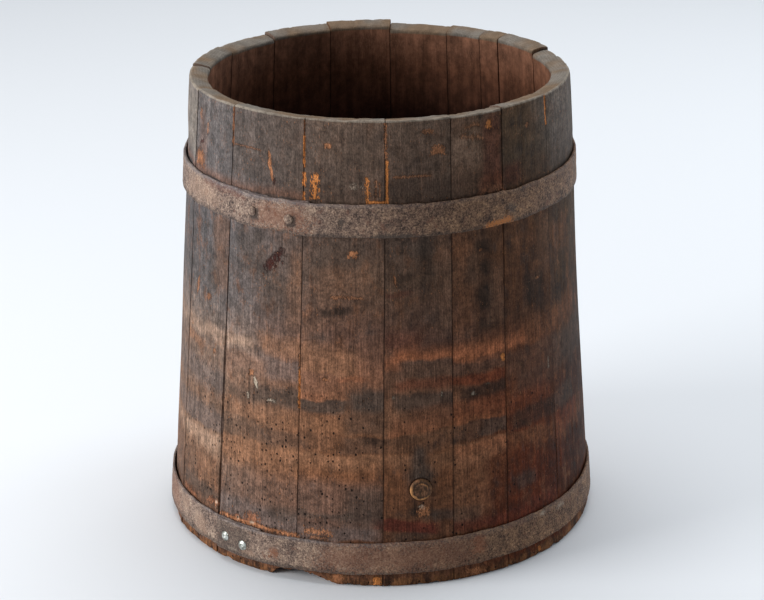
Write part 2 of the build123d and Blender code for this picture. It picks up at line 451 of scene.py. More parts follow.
# Stains lie under the grain. Each is paint, strength, azimuth from and to, height from and to,
# how much the heights rise from left to right, and the softness of the lower and upper edge.
STAINS = {
    "stave_14": [
        ("pale", 0.45, -98, -66, 212, 227, 0, 7, 7), ("grey", 0.5, -98, -68, 160, 190, 0, 9, 9),
        ("pale", 0.5, -98, -66, 102, 117, 0, 9, 5), ("grey", 0.5, -98, -68, 122, 146, 0, 4, 6),
        ("rust", 0.3, -98, -66, 373, 380, 0, 1, 4), ("dark", 0.4, -99, -84, 176, 192, 0, 5, 6),
        ("tan", 0.4, -99, -80, 146, 162, 0, 6, 6), ("red", 0.3, -99, -85, 194, 203, 0, 3, 4),
        # The faint white over the upper part is a painted sheen of the lit left side
        ("umber", 0.4, -99, -82, 62, 100, 0, 9, 9), ("white", 0.2, -98, -64, 384, 446, 0, 9, 9),
    ],
    "stave_15": [
        ("pale", 0.55, -72, -44, 214, 228, 2, 7, 7), ("tan", 0.6, -70, -59, 202, 211, 0, 3, 3),
        ("dark", 0.4, -60, -45, 229, 243, 0, 5, 7), ("grey", 0.6, -70, -45, 163, 190, 0, 9, 9),
        ("grey", 0.6, -70, -45, 122, 146, 0, 3, 6), ("pale", 0.7, -72, -43, 101, 118, 2, 9, 5),
        ("tan", 0.4, -59.5, -52, 60, 92, 0, 9, 9), ("dark", 0.6, -70, -45, 50, 63, 0, 4, 4),
        ("brown", 0.6, -54.5, -47, 268, 342, 0, 12, 5), ("dark", 0.5, -57, -52, 264, 300, 0, 8, 8),
        ("rust", 0.35, -72, -43, 373, 381, 0, 1, 5), ("rust", 0.2, -66, -61, 380, 432, 0, 9, 9),
    ],
    "stave_16": [
        ("pale", 0.6, -50, -36, 213, 229, -2, 6, 6), ("tan", 0.5, -36, -20, 221, 240, 0, 5, 7),
        ("grey", 0.5, -50, -20, 197, 218, 0, 5, 3), ("dark", 0.8, -37, -20, 170, 189, 1, 4, 6),
        ("dark", 0.45, -47, -36, 171, 183, 0, 5, 5), ("tan", 0.4, -50, -20, 150, 164, 2, 2, 5),
        ("dark", 0.4, -50, -20, 124, 144, 6, 3, 3), ("tan", 0.6, -50, -18, 106, 128, 5, 9, 3),
        ("grey", 0.25, -52, -18, 60, 100, 0, 12, 9), ("grey", 0.6, -50, -20, 44, 66, 0, 6, 6),
        ("dark", 0.55, -31, -23, 58, 74, 0, 4, 5), ("brown", 0.65, -26, -20, 248, 322, 0, 10, 8),
        ("dark", 0.45, -44, -33, 296, 338, 0, 12, 6), ("dark", 0.5, -35, -27, 262, 300, 0, 10, 10),
        ("rust", 0.35, -52, -18, 373, 380, 0, 1, 5), ("dark", 0.55, -49, -19, 384, 456, 0, 8, 4),
        ("tan", 0.4, -50, -33, 196, 214, 0, 6, 6),
    ],
    "stave_17": [
        ("tan", 0.6, -25, -6, 213, 238, -7, 2, 10), ("dark", 0.4, -20, -14, 240, 248, 0, 3, 3),
        ("orange", 0.4, -11, -3, 203, 207, 0, 1.5, 2), ("dark", 0.85, -23, -8, 171, 183, 2, 3, 2),
        ("rust", 0.7, -25, -14.5, 183, 190.5, 1, 1, 3), ("dark", 0.9, -8.5, 3, 172, 195, 3, 5, 7),
        ("tan", 0.4, -25, -8, 151, 169, 0, 1.5, 6), ("dark", 0.5, -9.5, 5, 152, 180, 0, 5, 5),
        ("dark", 0.15, -25, -8, 132, 149, 1, 1.5, 1.6), ("dark", 0.45, -10, 5, 132, 149, 0, 3, 2),
        ("black", 0.5, -6, 3, 141, 149, 0, 3, 1), ("tan", 0.8, -23, 3, 118, 131, 0, 9, 1.5),
        ("grey", 0.3, -25, 5, 56, 104, 0, 9, 9), ("dark", 0.65, -23, -6.5, 66, 72, 0, 3, 2.5),
        ("grey", 0.6, -23, -1, 44, 58, 0, 2, 6), ("wine", 0.8, -1.5, 3, 59, 69, -1, 2, 2),
        ("dark", 0.55, -20, -16.5, 299, 320, 0, 4, 4), ("black", 0.75, -16, -7, 266, 274, 3, 2.5, 2),
        ("brown", 0.6, -18, -3, 284, 312, 0, 7, 6), ("black", 0.5, -8, -4.5, 277, 283, 0, 2, 2),
        ("dark", 0.5, -18, -5, 314, 342, 0, 8, 5), ("brown", 0.5, -22, -16, 248, 262, 0, 6, 6),
        ("dark", 0.6, -10, 3, 60, 97, 0, 9, 9), ("dark", 0.45, -24, -4, 382, 444, 0, 9, 9),
    ],
    "stave_01": [
        ("orange", 0.7, 0, 5.2, 215, 227, 0, 3, 5), ("orange", 0.85, 4, 22, 224, 235, 1, 1.6, 7),
        ("wine", 0.35, 1, 22, 235, 252, 0, 7, 9), ("dark", 0.55, 6, 22, 206, 223, 0, 3, 1.2),
        ("red", 0.9, 4.5, 22, 196, 205, 0, 3, 3), ("dark", 0.95, 3, 24, 175, 192, 0, 5, 3),
        ("dark", 0.5, 11, 24, 234, 268, 0, 8, 9), ("orange", 0.6, 3, 22, 151, 166, 2, 1.2, 7),
        ("red", 0.3, 8, 22, 160, 178, 2, 7, 5), ("dark", 0.25, 0, 24, 132, 149, 2, 3, 1.6),
        ("black", 0.25, -2, 13, 142, 149, 0, 2.5, 1), ("tan", 0.65, 0, 8.4, 120, 131, 0, 7, 2),
        ("tan", 0.55, 12, 20, 118, 130, 0, 7, 2), ("dark", 0.85, 8.6, 11.9, 104, 138, 0, 4, 3),
        ("dark", 0.6, 6.8, 14, 86, 117, 0, 5, 6), ("black", 0.9, 7.2, 10.2, 69, 86, 0, 4, 4),
        ("dark", 0.65, 11, 22, 66, 75, -1, 3, 3), ("wine", 0.95, 0, 14, 57, 69, -6, 2, 2),
        ("dark", 0.5, 3, 12, 45, 54, 0, 2, 2), ("brown", 0.6, 15.8, 20, 245, 345, 0, 9, 6),
        ("black", 0.55, 11.3, 14.6, 286, 336, 0, 9, 7), ("black", 0.5, 3.5, 9, 301, 309, 0, 3, 3),
        ("wine", 0.35, 1, 9, 286, 291, 0, 2, 2), ("dark", 0.5, 2, 15, 322, 345, 0, 6, 4),
        ("black", 0.2, 2, 20, 374, 402, 0, 6, 12), ("brown", 0.4, 0, 20, 152, 222, 0, 9, 9),
    ],
    "stave_02": [
        ("orange", 0.85, 18, 28.5, 217, 234, -3, 1.6, 9),
        ("orange", 0.85, 27.5, 37, 212, 231, -1, 1.6, 10), ("dark", 0.4, 18, 38, 204, 218, -2, 3, 1.8),
        ("red", 0.85, 18, 37.5, 194, 204, -3, 2.5, 2.5), ("black", 0.75, 21.5, 39, 178, 192, 0, 5, 3),
        ("orange", 0.4, 18, 39, 154, 165, 1, 1.2, 7), ("dark", 0.4, 16, 29, 137, 153, 2, 2.5, 1.8),
        ("dark", 0.7, 27, 41, 139, 154, 2, 2.5, 1.8), ("red", 0.4, 18, 39, 158, 178, 2, 7, 5),
        ("tan", 0.75, 19, 41, 119, 136, 1, 8, 1.4), ("orange", 0.5, 19, 41, 121, 135, 1, 7, 1.4),
        ("dark", 0.55, 18, 27, 58, 72, 0, 4, 4), ("wine", 0.6, 18, 39, 50, 60, 0, 3, 4),
        ("umber", 0.4, 19, 26, 246, 345, 0, 9, 6), ("black", 0.75, 28.4, 32.6, 318, 332, 0, 4, 4),
        ("black", 0.8, 28.6, 32.8, 293, 313, 0, 6, 6), ("black", 0.85, 28.2, 32.8, 261, 289, 0, 6, 6),
        ("black", 0.75, 28, 32.4, 243, 256, 0, 5, 5), ("brown", 0.5, 32, 37, 250, 306, 0, 9, 9),
        ("red", 0.5, 30, 40, 375, 391, 2, 3, 8), ("brown", 0.4, 18, 30.5, 378, 450, 0, 9, 9),
        ("tan", 0.3, 18, 30, 62, 130, 0, 9, 9), ("wine", 0.45, 31, 38, 390, 446, 0, 9, 9),
        ("pale", 0.3, 19, 30, 405, 434, 0, 9, 9),
    ],
    "stave_03": [
        ("orange", 0.65, 37, 44.5, 219, 231, 0, 2, 7), ("umber", 0.4, 44, 58, 216, 240, 0, 6, 9),
        ("dark", 0.4, 36, 58, 187, 215, 0, 8, 3), ("dark", 0.4, 40, 58, 170, 190, 0, 5, 5),
        ("black", 0.6, 38, 58, 137, 156, 0, 3, 3), ("red", 0.35, 38, 54, 157, 172, 2, 6, 6),
        ("umber", 0.65, 36, 50, 120, 134, -1, 8, 1.5), ("umber", 0.35, 49, 58, 114, 130, -2, 8, 3),
        ("dark", 0.6, 38, 46, 77, 90, 0, 4, 4), ("wine", 0.5, 36, 58, 45, 62, 0, 4, 6),
        ("black", 0.6, 47.4, 50.5, 297, 311, 0, 3, 3), ("black", 0.75, 44.5, 53.5, 255, 288, -4, 8, 7),
        ("brown", 0.4, 52, 58, 280, 340, 0, 9, 9), ("wine", 0.45, 38, 45, 376, 396, 0, 4, 6),
    ],
    "stave_04": [
        ("umber", 0.5, 55, 74, 219, 241, 2, 9, 10), ("dark", 0.5, 55, 90, 176, 214, 0, 9, 6),
        ("dark", 0.5, 55, 69, 137, 156, 0, 5, 5), ("umber", 0.2, 55, 90, 104, 126, 0, 9, 5),
        ("black", 0.4, 57, 66.5, 322, 343, 0, 6, 4), ("umber", 0.35, 58, 71, 294, 324, 0, 9, 9),
        ("red", 0.4, 55, 72, 112, 134, 0, 8, 4), ("black", 0.55, 57, 64, 244, 264, -5, 5, 5),
        ("grey", 0.18, 60, 90, 374, 448, 0, 9, 9),
    ],
}

# Scrapes and splashes lie over the grain. Each is paint, strength, azimuth from and to, height
# from and to, rise from left to right, and how ragged its outline is in millimetres.
SCRAPES = [
    ("raw", 0.8, -47.0, -46.3, 411, 449, 0, 1.2), ("bare", 0.95, -21.7, -21.1, 404, 434, 0, 0.8),
    ("raw", 0.8, -21.6, -21.2, 434, 449, 0, 0.8), ("bare", 0.95, -21.8, -20.9, 387, 400, 0, 2.0),
    ("bare", 0.9, -21.8, -21.0, 373, 382, 0, 1.5), ("bare", 0.95, -18.9, -17.2, 376, 400, 0, 5.0),
    ("raw", 0.9, -33.1, -32.1, 400, 417, -6, 1.5), ("raw", 0.8, -32.3, -31.4, 392, 404, -8, 1.2),
    ("blood", 0.8, -31.4, -30.5, 384, 390, 0, 2.0), ("raw", 0.75, -15.4, -13.6, 423.5, 428.5, 0, 1.5),
    ("bare", 0.9, -3.6, -2.7, 374, 399, -2, 3.2), ("bare", 0.9, -3.3, 2.3, 373.6, 376.4, 0, 1.4),
    ("bare", 1.0, 1.9, 2.7, 373, 414, 0, 0.9), ("raw", 0.8, 1.7, 2.4, 414, 449, 0, 2.2),
    ("raw", 0.5, -1.0, -0.5, 378, 396, 0, 1.6), ("raw", 0.5, 0.1, 0.5, 380, 394, 0, 1.6),
    ("raw", 0.75, 15.2, 18.8, 416.5, 425, 0, 5.0), ("raw", 0.6, 12.3, 15.8, 436.5, 440.5, 0, 4.0),
    ("raw", 0.5, 4.0, 15.0, 397, 399, 0, 2.2), ("raw", 0.4, -46, -36, 413, 414.6, 0, 1.6),
    ("bare", 0.95, 56.8, 57.8, 421, 450, 0, 1.0), ("bare", 0.7, 32.5, 34.5, 434, 442, 0, 3.5),
    ("rust", 0.6, 29.8, 38.2, 373, 380.5, 0, 9.0), ("raw", 0.8, -67.5, -62.3, 379, 393, 0, 8.0),
    ("raw", 0.6, -65.8, -64.8, 424, 434, 0, 3.0), ("raw", 0.45, -60.6, -59.6, 412, 424, 0, 2.5),
    ("blood", 0.8, -65.2, -62.8, 399, 402.5, 3, 2.0), ("white", 0.18, -7.7, -6.2, 387, 393, 0, 4.0),
    ("white", 0.18, -5.2, -4.5, 388, 393, 0, 2.0), ("raw", 0.6, 47.3, 48.6, 426, 431, 0, 3.0),
    ("raw", 0.45, 24, 31, 429, 433, -4, 4.5), ("raw", 0.45, 25, 30, 436, 439, 3, 4.0),
    ("raw", 0.9, -8.4, -5.9, 322.5, 329, 0, 3.6), ("raw", 0.45, -13.5, -4.5, 283.2, 285.6, 0, 2.4),
    ("raw", 0.7, -64.5, -63.0, 249, 263, 8, 2.0), ("raw", 0.85, -57.5, -55.8, 252, 259, 0, 3.0),
    ("raw", 0.7, 4.0, 4.6, 299, 307, -5, 0.8), ("raw", 0.6, 28.8, 30.0, 320.4, 322.8, 0, 1.4),
    ("raw", 0.7, 49.6, 51.0, 277, 280, 0, 1.6), ("blood", 0.9, -29.6, -27.4, 316, 323, 3, 6.0),
    ("blood", 0.9, -31.6, -28.8, 307, 317, 4, 7.0), ("blood", 0.9, -33.4, -30.6, 300, 311, 4, 8.0),
    ("bare", 0.9, -22.5, -21.9, 173, 212, 0, 0.9), ("raw", 0.7, -22.5, -21.9, 214, 226, 0, 0.9),
    ("bare", 0.85, 34.9, 36.3, 209, 217, 0, 2.4), ("white", 0.45, 3.2, 3.7, 187, 190, 0, 1.4),
    ("white", 0.4, 16.4, 16.8, 186, 191, 0, 1.2), ("white", 0.5, 25.3, 26.3, 182.5, 185.5, 0, 1.8),
    ("white", 0.35, 53.5, 54.0, 184, 196, 0, 1.2), ("white", 0.35, 29.7, 31.0, 190, 191, 0, 1.2),
    ("white", 0.6, -36.9, -35.4, 189, 197, -7, 1.0), ("white", 0.45, -39.0, -38.2, 171, 178, 0, 2.4),
    ("white", 0.45, -32, -29.4, 173.6, 176.4, 0, 2.0), ("raw", 0.7, -38.5, -37.0, 195, 201, 0, 2.6),
    ("raw", 0.7, -15.6, -14.4, 203, 206, 0, 2.0), ("raw", 0.6, -53.8, -52.4, 203, 207, 0, 2.6),
    ("rust", 0.85, -54.2, -49.0, 48, 54, 1, 5.5), ("white", 0.55, -50.4, -49.7, 51, 54, 0, 2.0),
    ("rust", 0.9, -38.6, -34.2, 43, 57, 0, 8.0), ("white", 0.7, -37.0, -35.6, 44, 48, 0, 2.0),
    ("rust", 0.8, -42.4, -40.6, 43, 50, 0, 3.4), ("white", 0.7, -41.8, -41.0, 43.5, 48, 0, 1.6),
    ("raw", 0.8, -48, -22, 42.5, 46.5, 0, 3.2), ("rust", 0.8, -69, -60.5, 43, 49, -3, 5.5),
    ("raw", 0.75, -20.5, -13, 49, 54, 0, 5.5), ("raw", 0.5, -19, -14, 44, 47, 0, 3.0),
    ("bare", 0.9, -2.2, -0.3, 1, 9.5, 0, 1.6), ("bare", 0.7, 45.8, 46.9, 2, 9, 0, 1.6),
    ("raw", 0.6, 22, 28, 1, 9, 0, 5.0), ("raw", 0.6, -13, -10, 1, 11, 0, 4.0),
    ("white", 0.45, 9.9, 11.2, 76, 80.5, 0, 2.6), ("raw", 0.8, 10.0, 12.6, 69, 79, 0, 5.0),
]

# Stained bands of the hidden side: paint, strength, and height from and to
HIDDEN_BANDS = [
    ("tan", 0.42, 218, 232), ("dark", 0.5, 200, 215), ("red", 0.4, 194, 202), ("dark", 0.8, 176, 192),
    ("tan", 0.4, 151, 164), ("dark", 0.65, 131, 149), ("tan", 0.4, 110, 128), ("dark", 0.5, 62, 72),
    ("grey", 0.4, 44, 58), ("brown", 0.5, 262, 300), ("dark", 0.4, 306, 340), ("rust", 0.45, 373, 381),
]

# Indices of the staves with hidden-side stains that stand next to the seen ones
BESIDE_SEEN = (4, 12)


def hidden_side_stains(stave):
    """Stained bands that carry the seen ones round the back, a little different on each stave."""
    dice = random.Random(stave.seed)
    strong = 0.6 if stave.index in BESIDE_SEEN else 1.0
    first, last = stave.real_middle - 40, stave.real_middle + 40
    stains = []
    for paint, strength, low, high in HIDDEN_BANDS:
        shift = dice.uniform(-4, 4) if low < 373 else 0
        rise = dice.uniform(-4, 4)
        soft = (dice.uniform(1.5, 7), dice.uniform(1.5, 7))
        strength = strong * strength * dice.uniform(0.6, 1.1)
        stains.append((paint, strength, first, last, low + shift, high + shift, rise, *soft))
    for _ in range(2):
        middle = stave.real_middle + dice.uniform(-0.4, 0.4) * stave.width
        low = dice.uniform(245, 320)
        half = dice.uniform(1.5, 5)
        high = low + dice.uniform(16, 60)
        stains.append(("dark", 0.5, middle - half, middle + half, low, high, 0, 9, 9))
    return stains


# Arc of one degree on the outer face, taken at mid height
MM_PER_DEGREE = 3.45


def patch_group():
    """Node group that is one inside a soft-edged patch of azimuth and height and zero outside."""
    group = bpy.data.node_groups.new("patch", "ShaderNodeTree")
    names = ["Azimuth", "Height", "Wobble", "From", "To", "Low", "High", "Rise"]
    for name in [*names, "Soft Low", "Soft High", "Soft End"]:
        group.interface.new_socket(name, in_out="INPUT", socket_type="NodeSocketFloat")
    group.interface.new_socket("Mask", in_out="OUTPUT", socket_type="NodeSocketFloat")
    tree = Tree.__new__(Tree)
    tree.nodes, tree.links = group.nodes, group.links
    given = tree.nodes.new("NodeGroupInput").outputs
    along = tree.math("SUBTRACT", given["Azimuth"], given["From"])
    whole = tree.math("SUBTRACT", given["To"], given["From"])
    slope = tree.times(tree.math("DIVIDE", along, whole), given["Rise"])
    height = tree.add(tree.math("SUBTRACT", given["Height"], slope), given["Wobble"])
    above = tree.math("DIVIDE", tree.math("SUBTRACT", height, given["Low"]), given["Soft Low"])
    below = tree.math("DIVIDE", tree.math("SUBTRACT", given["High"], height), given["Soft High"])
    from_end = tree.math("MINIMUM", along, tree.math("SUBTRACT", given["To"], given["Azimuth"]))
    arc = tree.times(from_end, MM_PER_DEGREE)
    ends = tree.math("DIVIDE", tree.add(arc, tree.times(given["Wobble"], 1.4)), given["Soft End"])
    mask = tree.times(tree.step(above, -1.0, 1.0), tree.step(below, -1.0, 1.0))
    mask = tree.times(mask, tree.step(ends, -1.0, 1.0))
    tree.plug(tree.nodes.new("NodeGroupOutput").inputs["Mask"], mask)
    return group


PATCH = patch_group()

# Softness of the marks' edges in millimetres, and how much lighter scrapes are than their paint
STAIN_END = 6.0
SCRAPE_EDGE = 0.8
IRON_MARK_EDGE = 1.5
SCRAPE_GAIN = 1.15


def patch(tree, azimuth, height, wobble, numbers):
    inputs = dict(enumerate((azimuth, height, wobble, *numbers)))
    return tree.node("Group", inputs, node_tree=PATCH).outputs["Mask"]


def add_stains(tree, colour, azimuth, height, wobble, stains):
    for paint, strength, first, last, low, high, rise, soft_low, soft_high in stains:
        numbers = (first, last, low, high, rise, soft_low, soft_high, STAIN_END)
        mask = patch(tree, azimuth, height, wobble, numbers)
        colour = tree.paint(colour, tree.times(mask, strength), PAINT[paint])
    return colour


def add_marks(tree, colour, azimuth, height, chips, marks, soft, gain=1.0):
    """Lays ragged marks over a colour. Also gives how much of the surface they cover."""
    covered = 0.0
    for paint, strength, first, last, low, high, rise, ragged in marks:
        wobble = tree.times(chips, ragged * 4)
        mask = patch(tree, azimuth, height, wobble, (first, last, low, high, rise, soft, soft, soft))
        colour = tree.mix(tree.times(mask, strength), colour, srgb(PAINT[paint], gain))
        covered = tree.math("MAXIMUM", covered, mask)
    return colour, covered


# ==== Wood of the staves

FULL_HEIGHT = 452.0

# The tub is out of round at the right: by how much, where, how far round and over what heights
SWELL = 4.0
SWELL_AZIMUTH = 105.0
SWELL_REACH = 90.0
SWELL_FROM = 230.0
SWELL_RISE = 200.0

# Radius at which the noises measure arcs
REFERENCE_RADIUS = 200.0

# How far the joints lean, in degrees at the top and at the base
LEANING = {
    14: (0.3, -1.5), 15: (0.5, -2.2), 16: (-0.3, -1.7), 0: (0.5, -1.3), 1: (0.5, -1.7), 2: (0.0, -3.0),
    3: (1.0, -1.0),
}

# Share of the roundness that is taken off the outer face of some staves
FLATNESS = {0: 0.06, 1: 0.06, 15: 0.08, 16: 0.06, 2: 0.08, 13: 0.32, 14: 0.2}


class Stave:
    """What is known of one stave: its place from the frame and its own small differences."""

    def __init__(self, index):
        self.index = index
        self.name = STAVE_NAMES[index]
        offset, middle, radius, height = cylinder_points(self.name)
        self.start = middle + offset.min()
        self.end = middle + offset.max()
        self.middle = (self.start + self.end) / 2
        self.real_middle = (self.middle + 180) % 360 - 180
        self.width = self.end - self.start
        self.top = height.max()
        self.drop = BASE_RADIUS - radius[height < 0.5].max()
        dice = random.Random(100 + index)
        self.seed = 1000 * (index + 1)
        self.shift = float(self.seed % 997)
        self.tone = dice.uniform(0.92, 1.08)
        self.flat = FLATNESS.get(index, dice.uniform(0.1, 0.25))
        self.top_tilt = dice.uniform(-0.8, 0.8)
        self.lean = [LEANING.get(i % len(STAVE_NAMES), (0.0, 0.0)) for i in (index, index + 1)]

    def edges(self, z):
        """Azimuth of both edges at a height."""
        share = z / FULL_HEIGHT
        both = zip((self.start, self.end), self.lean)
        return [edge + base + (top - base) * share for edge, (top, base) in both]


STAVES = [Stave(i) for i in range(len(STAVE_NAMES))]

# Middle of the band of dirt along the upper hoop's top edge, mostly behind the hoop
DIRT_HEIGHT = 370.0

# Share of the cells of wood that hold a worm hole
WORMY = {"stave_15": 0.34, "stave_16": 0.5, "stave_17": 0.34, "stave_02": 0.2}
FEW_WORMS = 0.12


def worm_holes(tree, stave, field, arc, z, depth, chips):
    """Mask of small holes, thick in the lower half of the outer face. field places a noise."""
    across = tree.add(tree.times(arc, 1 / 5.5), stave.shift)
    worm_place = tree.vector(across, tree.times(z, 1 / 7.0), 0.0)
    worm_distance, worm_pick = tree.cells(worm_place, dimensions="2D")
    worm_zone = tree.step(tree.noise(field(20.0, 20.0, 26.0, 151.0)), 0.42, 0.54)
    worm_zone = tree.times(worm_zone, tree.step(z, 215.0, 165.0))
    picked = tree.math("LESS_THAN", tree.channel(worm_pick, 0), WORMY.get(stave.name, FEW_WORMS))
    worm_size = tree.step(tree.channel(worm_pick, 1), 0.0, 1.0, 0.09, 0.17)
    ragged_distance = tree.add(worm_distance, tree.times(chips, 0.15))
    worm = tree.step(tree.math("SUBTRACT", ragged_distance, worm_size), 0.04, -0.03)
    worm = tree.times(tree.times(worm, picked), worm_zone)
    return tree.times(worm, tree.step(depth, 3.0, 1.5))


def inside_wood(tree, field, z, warmth, clouds, chips, zone):
    """Colour of the inner face: red-brown, darkening downwards as painted shade, with runs."""
    runs = tree.noise(field(9.0, 9.0, 120.0, 171.0), detail=3.0)
    inside_level = tree.times(tree.add(z, tree.signed(clouds, 26.0)), 1 / FULL_HEIGHT)
    inside = tree.ramp(inside_level, INSIDE)
    inside_tone = tree.times(tree.vary(clouds, 0.7, 1.3), tree.vary(warmth, 0.75, 1.25))
    inside_tone = tree.times(tree.vary(runs, 0.75, 1.25), inside_tone)
    inside = tree.scale_colour(inside, inside_tone)
    scuffs = tree.times(tree.step(chips, 0.04, 0.14), tree.step(z, 370.0, 440.0, 0.0, 0.5))
    return tree.paint(inside, tree.times(scuffs, tree.step(zone, 0.4, 0.6)), "8a6250")


def joint_distance(tree, stave, azimuth, z):
    """Distance in millimetres to the nearer joint, which may lean."""
    left, right = stave.edges(0.0)
    left_top, right_top = stave.edges(FULL_HEIGHT)
    turn = stave.real_middle - stave.middle
    left_edge = tree.add(tree.times(z, (left_top - left) / FULL_HEIGHT), left + turn)
    right_edge = tree.add(tree.times(z, (right_top - right) / FULL_HEIGHT), right + turn)
    from_left = tree.math("SUBTRACT", azimuth, left_edge)
    from_right = tree.math("SUBTRACT", right_edge, azimuth)
    return tree.times(tree.math("MINIMUM", from_left, from_right), math.radians(REFERENCE_RADIUS))


def shade_stave(stave):
    """Weathered wood: stained bands outside, dark and red inside, grey end grain on the rim."""
    tree = Tree("wood_" + stave.name)
    angle, radius, z = tree.place(stave.middle)
    arc = tree.times(angle, REFERENCE_RADIUS)
    azimuth = tree.add(tree.times(angle, math.degrees(1)), stave.real_middle)
    from_swell = tree.math("ABSOLUTE", tree.add(azimuth, -SWELL_AZIMUTH))
    swollen = tree.step(from_swell, SWELL_REACH, 0.0, 0.0, SWELL)
    swollen = tree.times(swollen, tree.step(z, SWELL_FROM, SWELL_FROM + SWELL_RISE))
    outside = tree.add(tree.add(tree.times(z, -TAPER), BASE_RADIUS), swollen)
    depth = tree.math("SUBTRACT", outside, radius)

    def field(arc_scale, depth_scale, z_scale, offset=0.0):
        return tree.vector(
            tree.add(tree.times(arc, 1 / arc_scale), stave.shift + offset),
            tree.times(depth, 1 / depth_scale),
            tree.times(z, 1 / z_scale),
        )

    # Grain: fine lines, broader streaks and a wandering growth figure; then clouds of dirt and grit
    lines = tree.noise(field(1.4, 1.4, 26.0), detail=2.0, roughness=0.7)
    streaks = tree.noise(field(3.2, 3.2, 64.0, 7.0), detail=3.0, roughness=0.7)
    wander = tree.noise(field(30.0, 30.0, 120.0, 11.0), detail=1.0)
    figure_place = tree.add(tree.times(arc, 1 / 4.6), tree.times(wander, 6.0))
    figure_place = tree.vector(figure_place, tree.times(depth, 1 / 4.6), tree.times(z, 1 / 190.0))
    figure = tree.noise(figure_place, detail=2.0)
    clouds = tree.noise(field(12.0, 12.0, 11.0, 31.0), detail=6.0, roughness=0.72)
    wide_clouds = tree.noise(field(42.0, 42.0, 34.0, 37.0), detail=2.0)
    grit = tree.noise(field(1.5, 1.5, 2.6, 57.0), detail=2.0, roughness=0.75)

    # Skin colour by height, from left to right, with stains whose edges wander; its paler left and darker
    # right are partly painted light and shade
    wobble = tree.add(tree.signed(wide_clouds, 15.0), tree.signed(clouds, 7.0))
    level = tree.times(tree.add(z, tree.signed(wide_clouds, 30.0)), 1 / FULL_HEIGHT)
    turned = tree.add(azimuth, tree.signed(wide_clouds, 20.0))
    skin = {}
    for side, stops in SKIN_AND_SIDE_LIGHT.items():
        skin[side] = tree.ramp(level, [(height / FULL_HEIGHT, code) for height, code in stops])
    colour = tree.mix(tree.step(turned, -55.0, -8.0), skin["left"], skin["front"])
    colour = tree.mix(tree.step(turned, 14.0, 42.0), colour, skin["right"])
    colour = tree.mix(tree.step(turned, 46.0, 66.0), colour, skin["beyond"])
    if stave.name not in STAINS:
        behind = tree.step(tree.math("ABSOLUTE", turned), 80.0, 135.0)
        colour = tree.mix(behind, colour, tree.mix(0.5, skin["left"], skin["front"]))
    stains = STAINS.get(stave.name) or hidden_side_stains(stave)
    warmth = tree.noise(field(15.0, 15.0, 26.0, 131.0), detail=5.0, roughness=0.7)
    warmest = tree.step(z, 330.0, 385.0, 0.6, 0.22)
    colour = tree.paint(colour, tree.step(warmth, 0.5, 0.68, 0.0, warmest), "6f4a34")
    colour = tree.paint(colour, tree.step(warmth, 0.46, 0.32, 0.0, 0.5), "38312e")
    colour = add_stains(tree, colour, azimuth, z, wobble, stains)

    # Scrapes and splashes, broken up along the grain and ringed with dirt
    chips = tree.add(tree.noise(field(1.5, 1.5, 3.6, 83.0), detail=3.0, roughness=0.75), -0.5)
    reach = stave.width / 2 + 1.5
    first, last = stave.real_middle - reach, stave.real_middle + reach
    near = [scrape for scrape in SCRAPES if scrape[2] <= last and scrape[3] >= first]
    colour, bared = add_marks(tree, colour, azimuth, z, chips, near, SCRAPE_EDGE, SCRAPE_GAIN)
    ringed = tree.times(tree.times(bared, tree.add(tree.times(bared, -1.0), 1.0)), 2.6)
    colour = tree.paint(colour, ringed, "20140e")

    # Light and dark of the grain, weaker in the grey upper half
    darkest = tree.step(z, 230.0, 290.0, 0.75, 0.85)
    lightest = tree.step(z, 230.0, 290.0, 1.25, 1.15)
    tone = tree.vary(lines, darkest, lightest)
    tone = tree.times(tone, tree.vary(streaks, 0.8, 1.2))
    tone = tree.times(tone, tree.add(1.0, tree.signed(figure, 0.5)))
    tone = tree.times(tone, tree.vary(grit, 0.68, 1.32))
    tone = tree.times(tone, tree.vary(clouds, 0.58, 1.42))

    # Dirt gathers along the upper hoop's top edge, less at the left
    from_dirt = tree.math("ABSOLUTE", tree.add(z, -DIRT_HEIGHT))
    dirtiest = tree.step(turned, -60.0, -32.0, 1.0, 0.8)
    tone = tree.times(tone, tree.step(from_dirt, 8.0, 28.0, dirtiest, 1.0))
    colour = tree.scale_colour(colour, tree.times(tone, stave.tone))

    # Small light nicks, dark specks and scratches across the grain
    zone = tree.noise(field(16.0, 16.0, 20.0, 91.0), detail=2.0)
    nicks = tree.times(tree.step(chips, 0.13, 0.18), tree.step(zone, 0.4, 0.56))
    colour = tree.paint(colour, tree.times(nicks, 0.75), "a06842")
    specks = tree.times(tree.step(chips, -0.13, -0.18), tree.step(zone, 0.38, 0.52))
    colour = tree.paint(colour, tree.times(specks, 0.6), "1c1512")
    scratch = tree.noise(field(8.0, 8.0, 0.7, 103.0), detail=2.0, roughness=0.55)
    scratches = tree.step(scratch, tree.step(z, 350.0, 385.0, 0.67, 0.61), 0.72)
    scratches = tree.times(scratches, tree.step(zone, 0.5, 0.62))
    colour = tree.paint(colour, tree.times(scratches, 0.45), "8e6e56")

    worm = worm_holes(tree, stave, field, arc, z, depth, chips)

    inside = inside_wood(tree, field, z, warmth, clouds, chips, zone)
    is_inside = tree.step(depth, 11.0, 15.0)
    colour = tree.mix(is_inside, colour, inside)

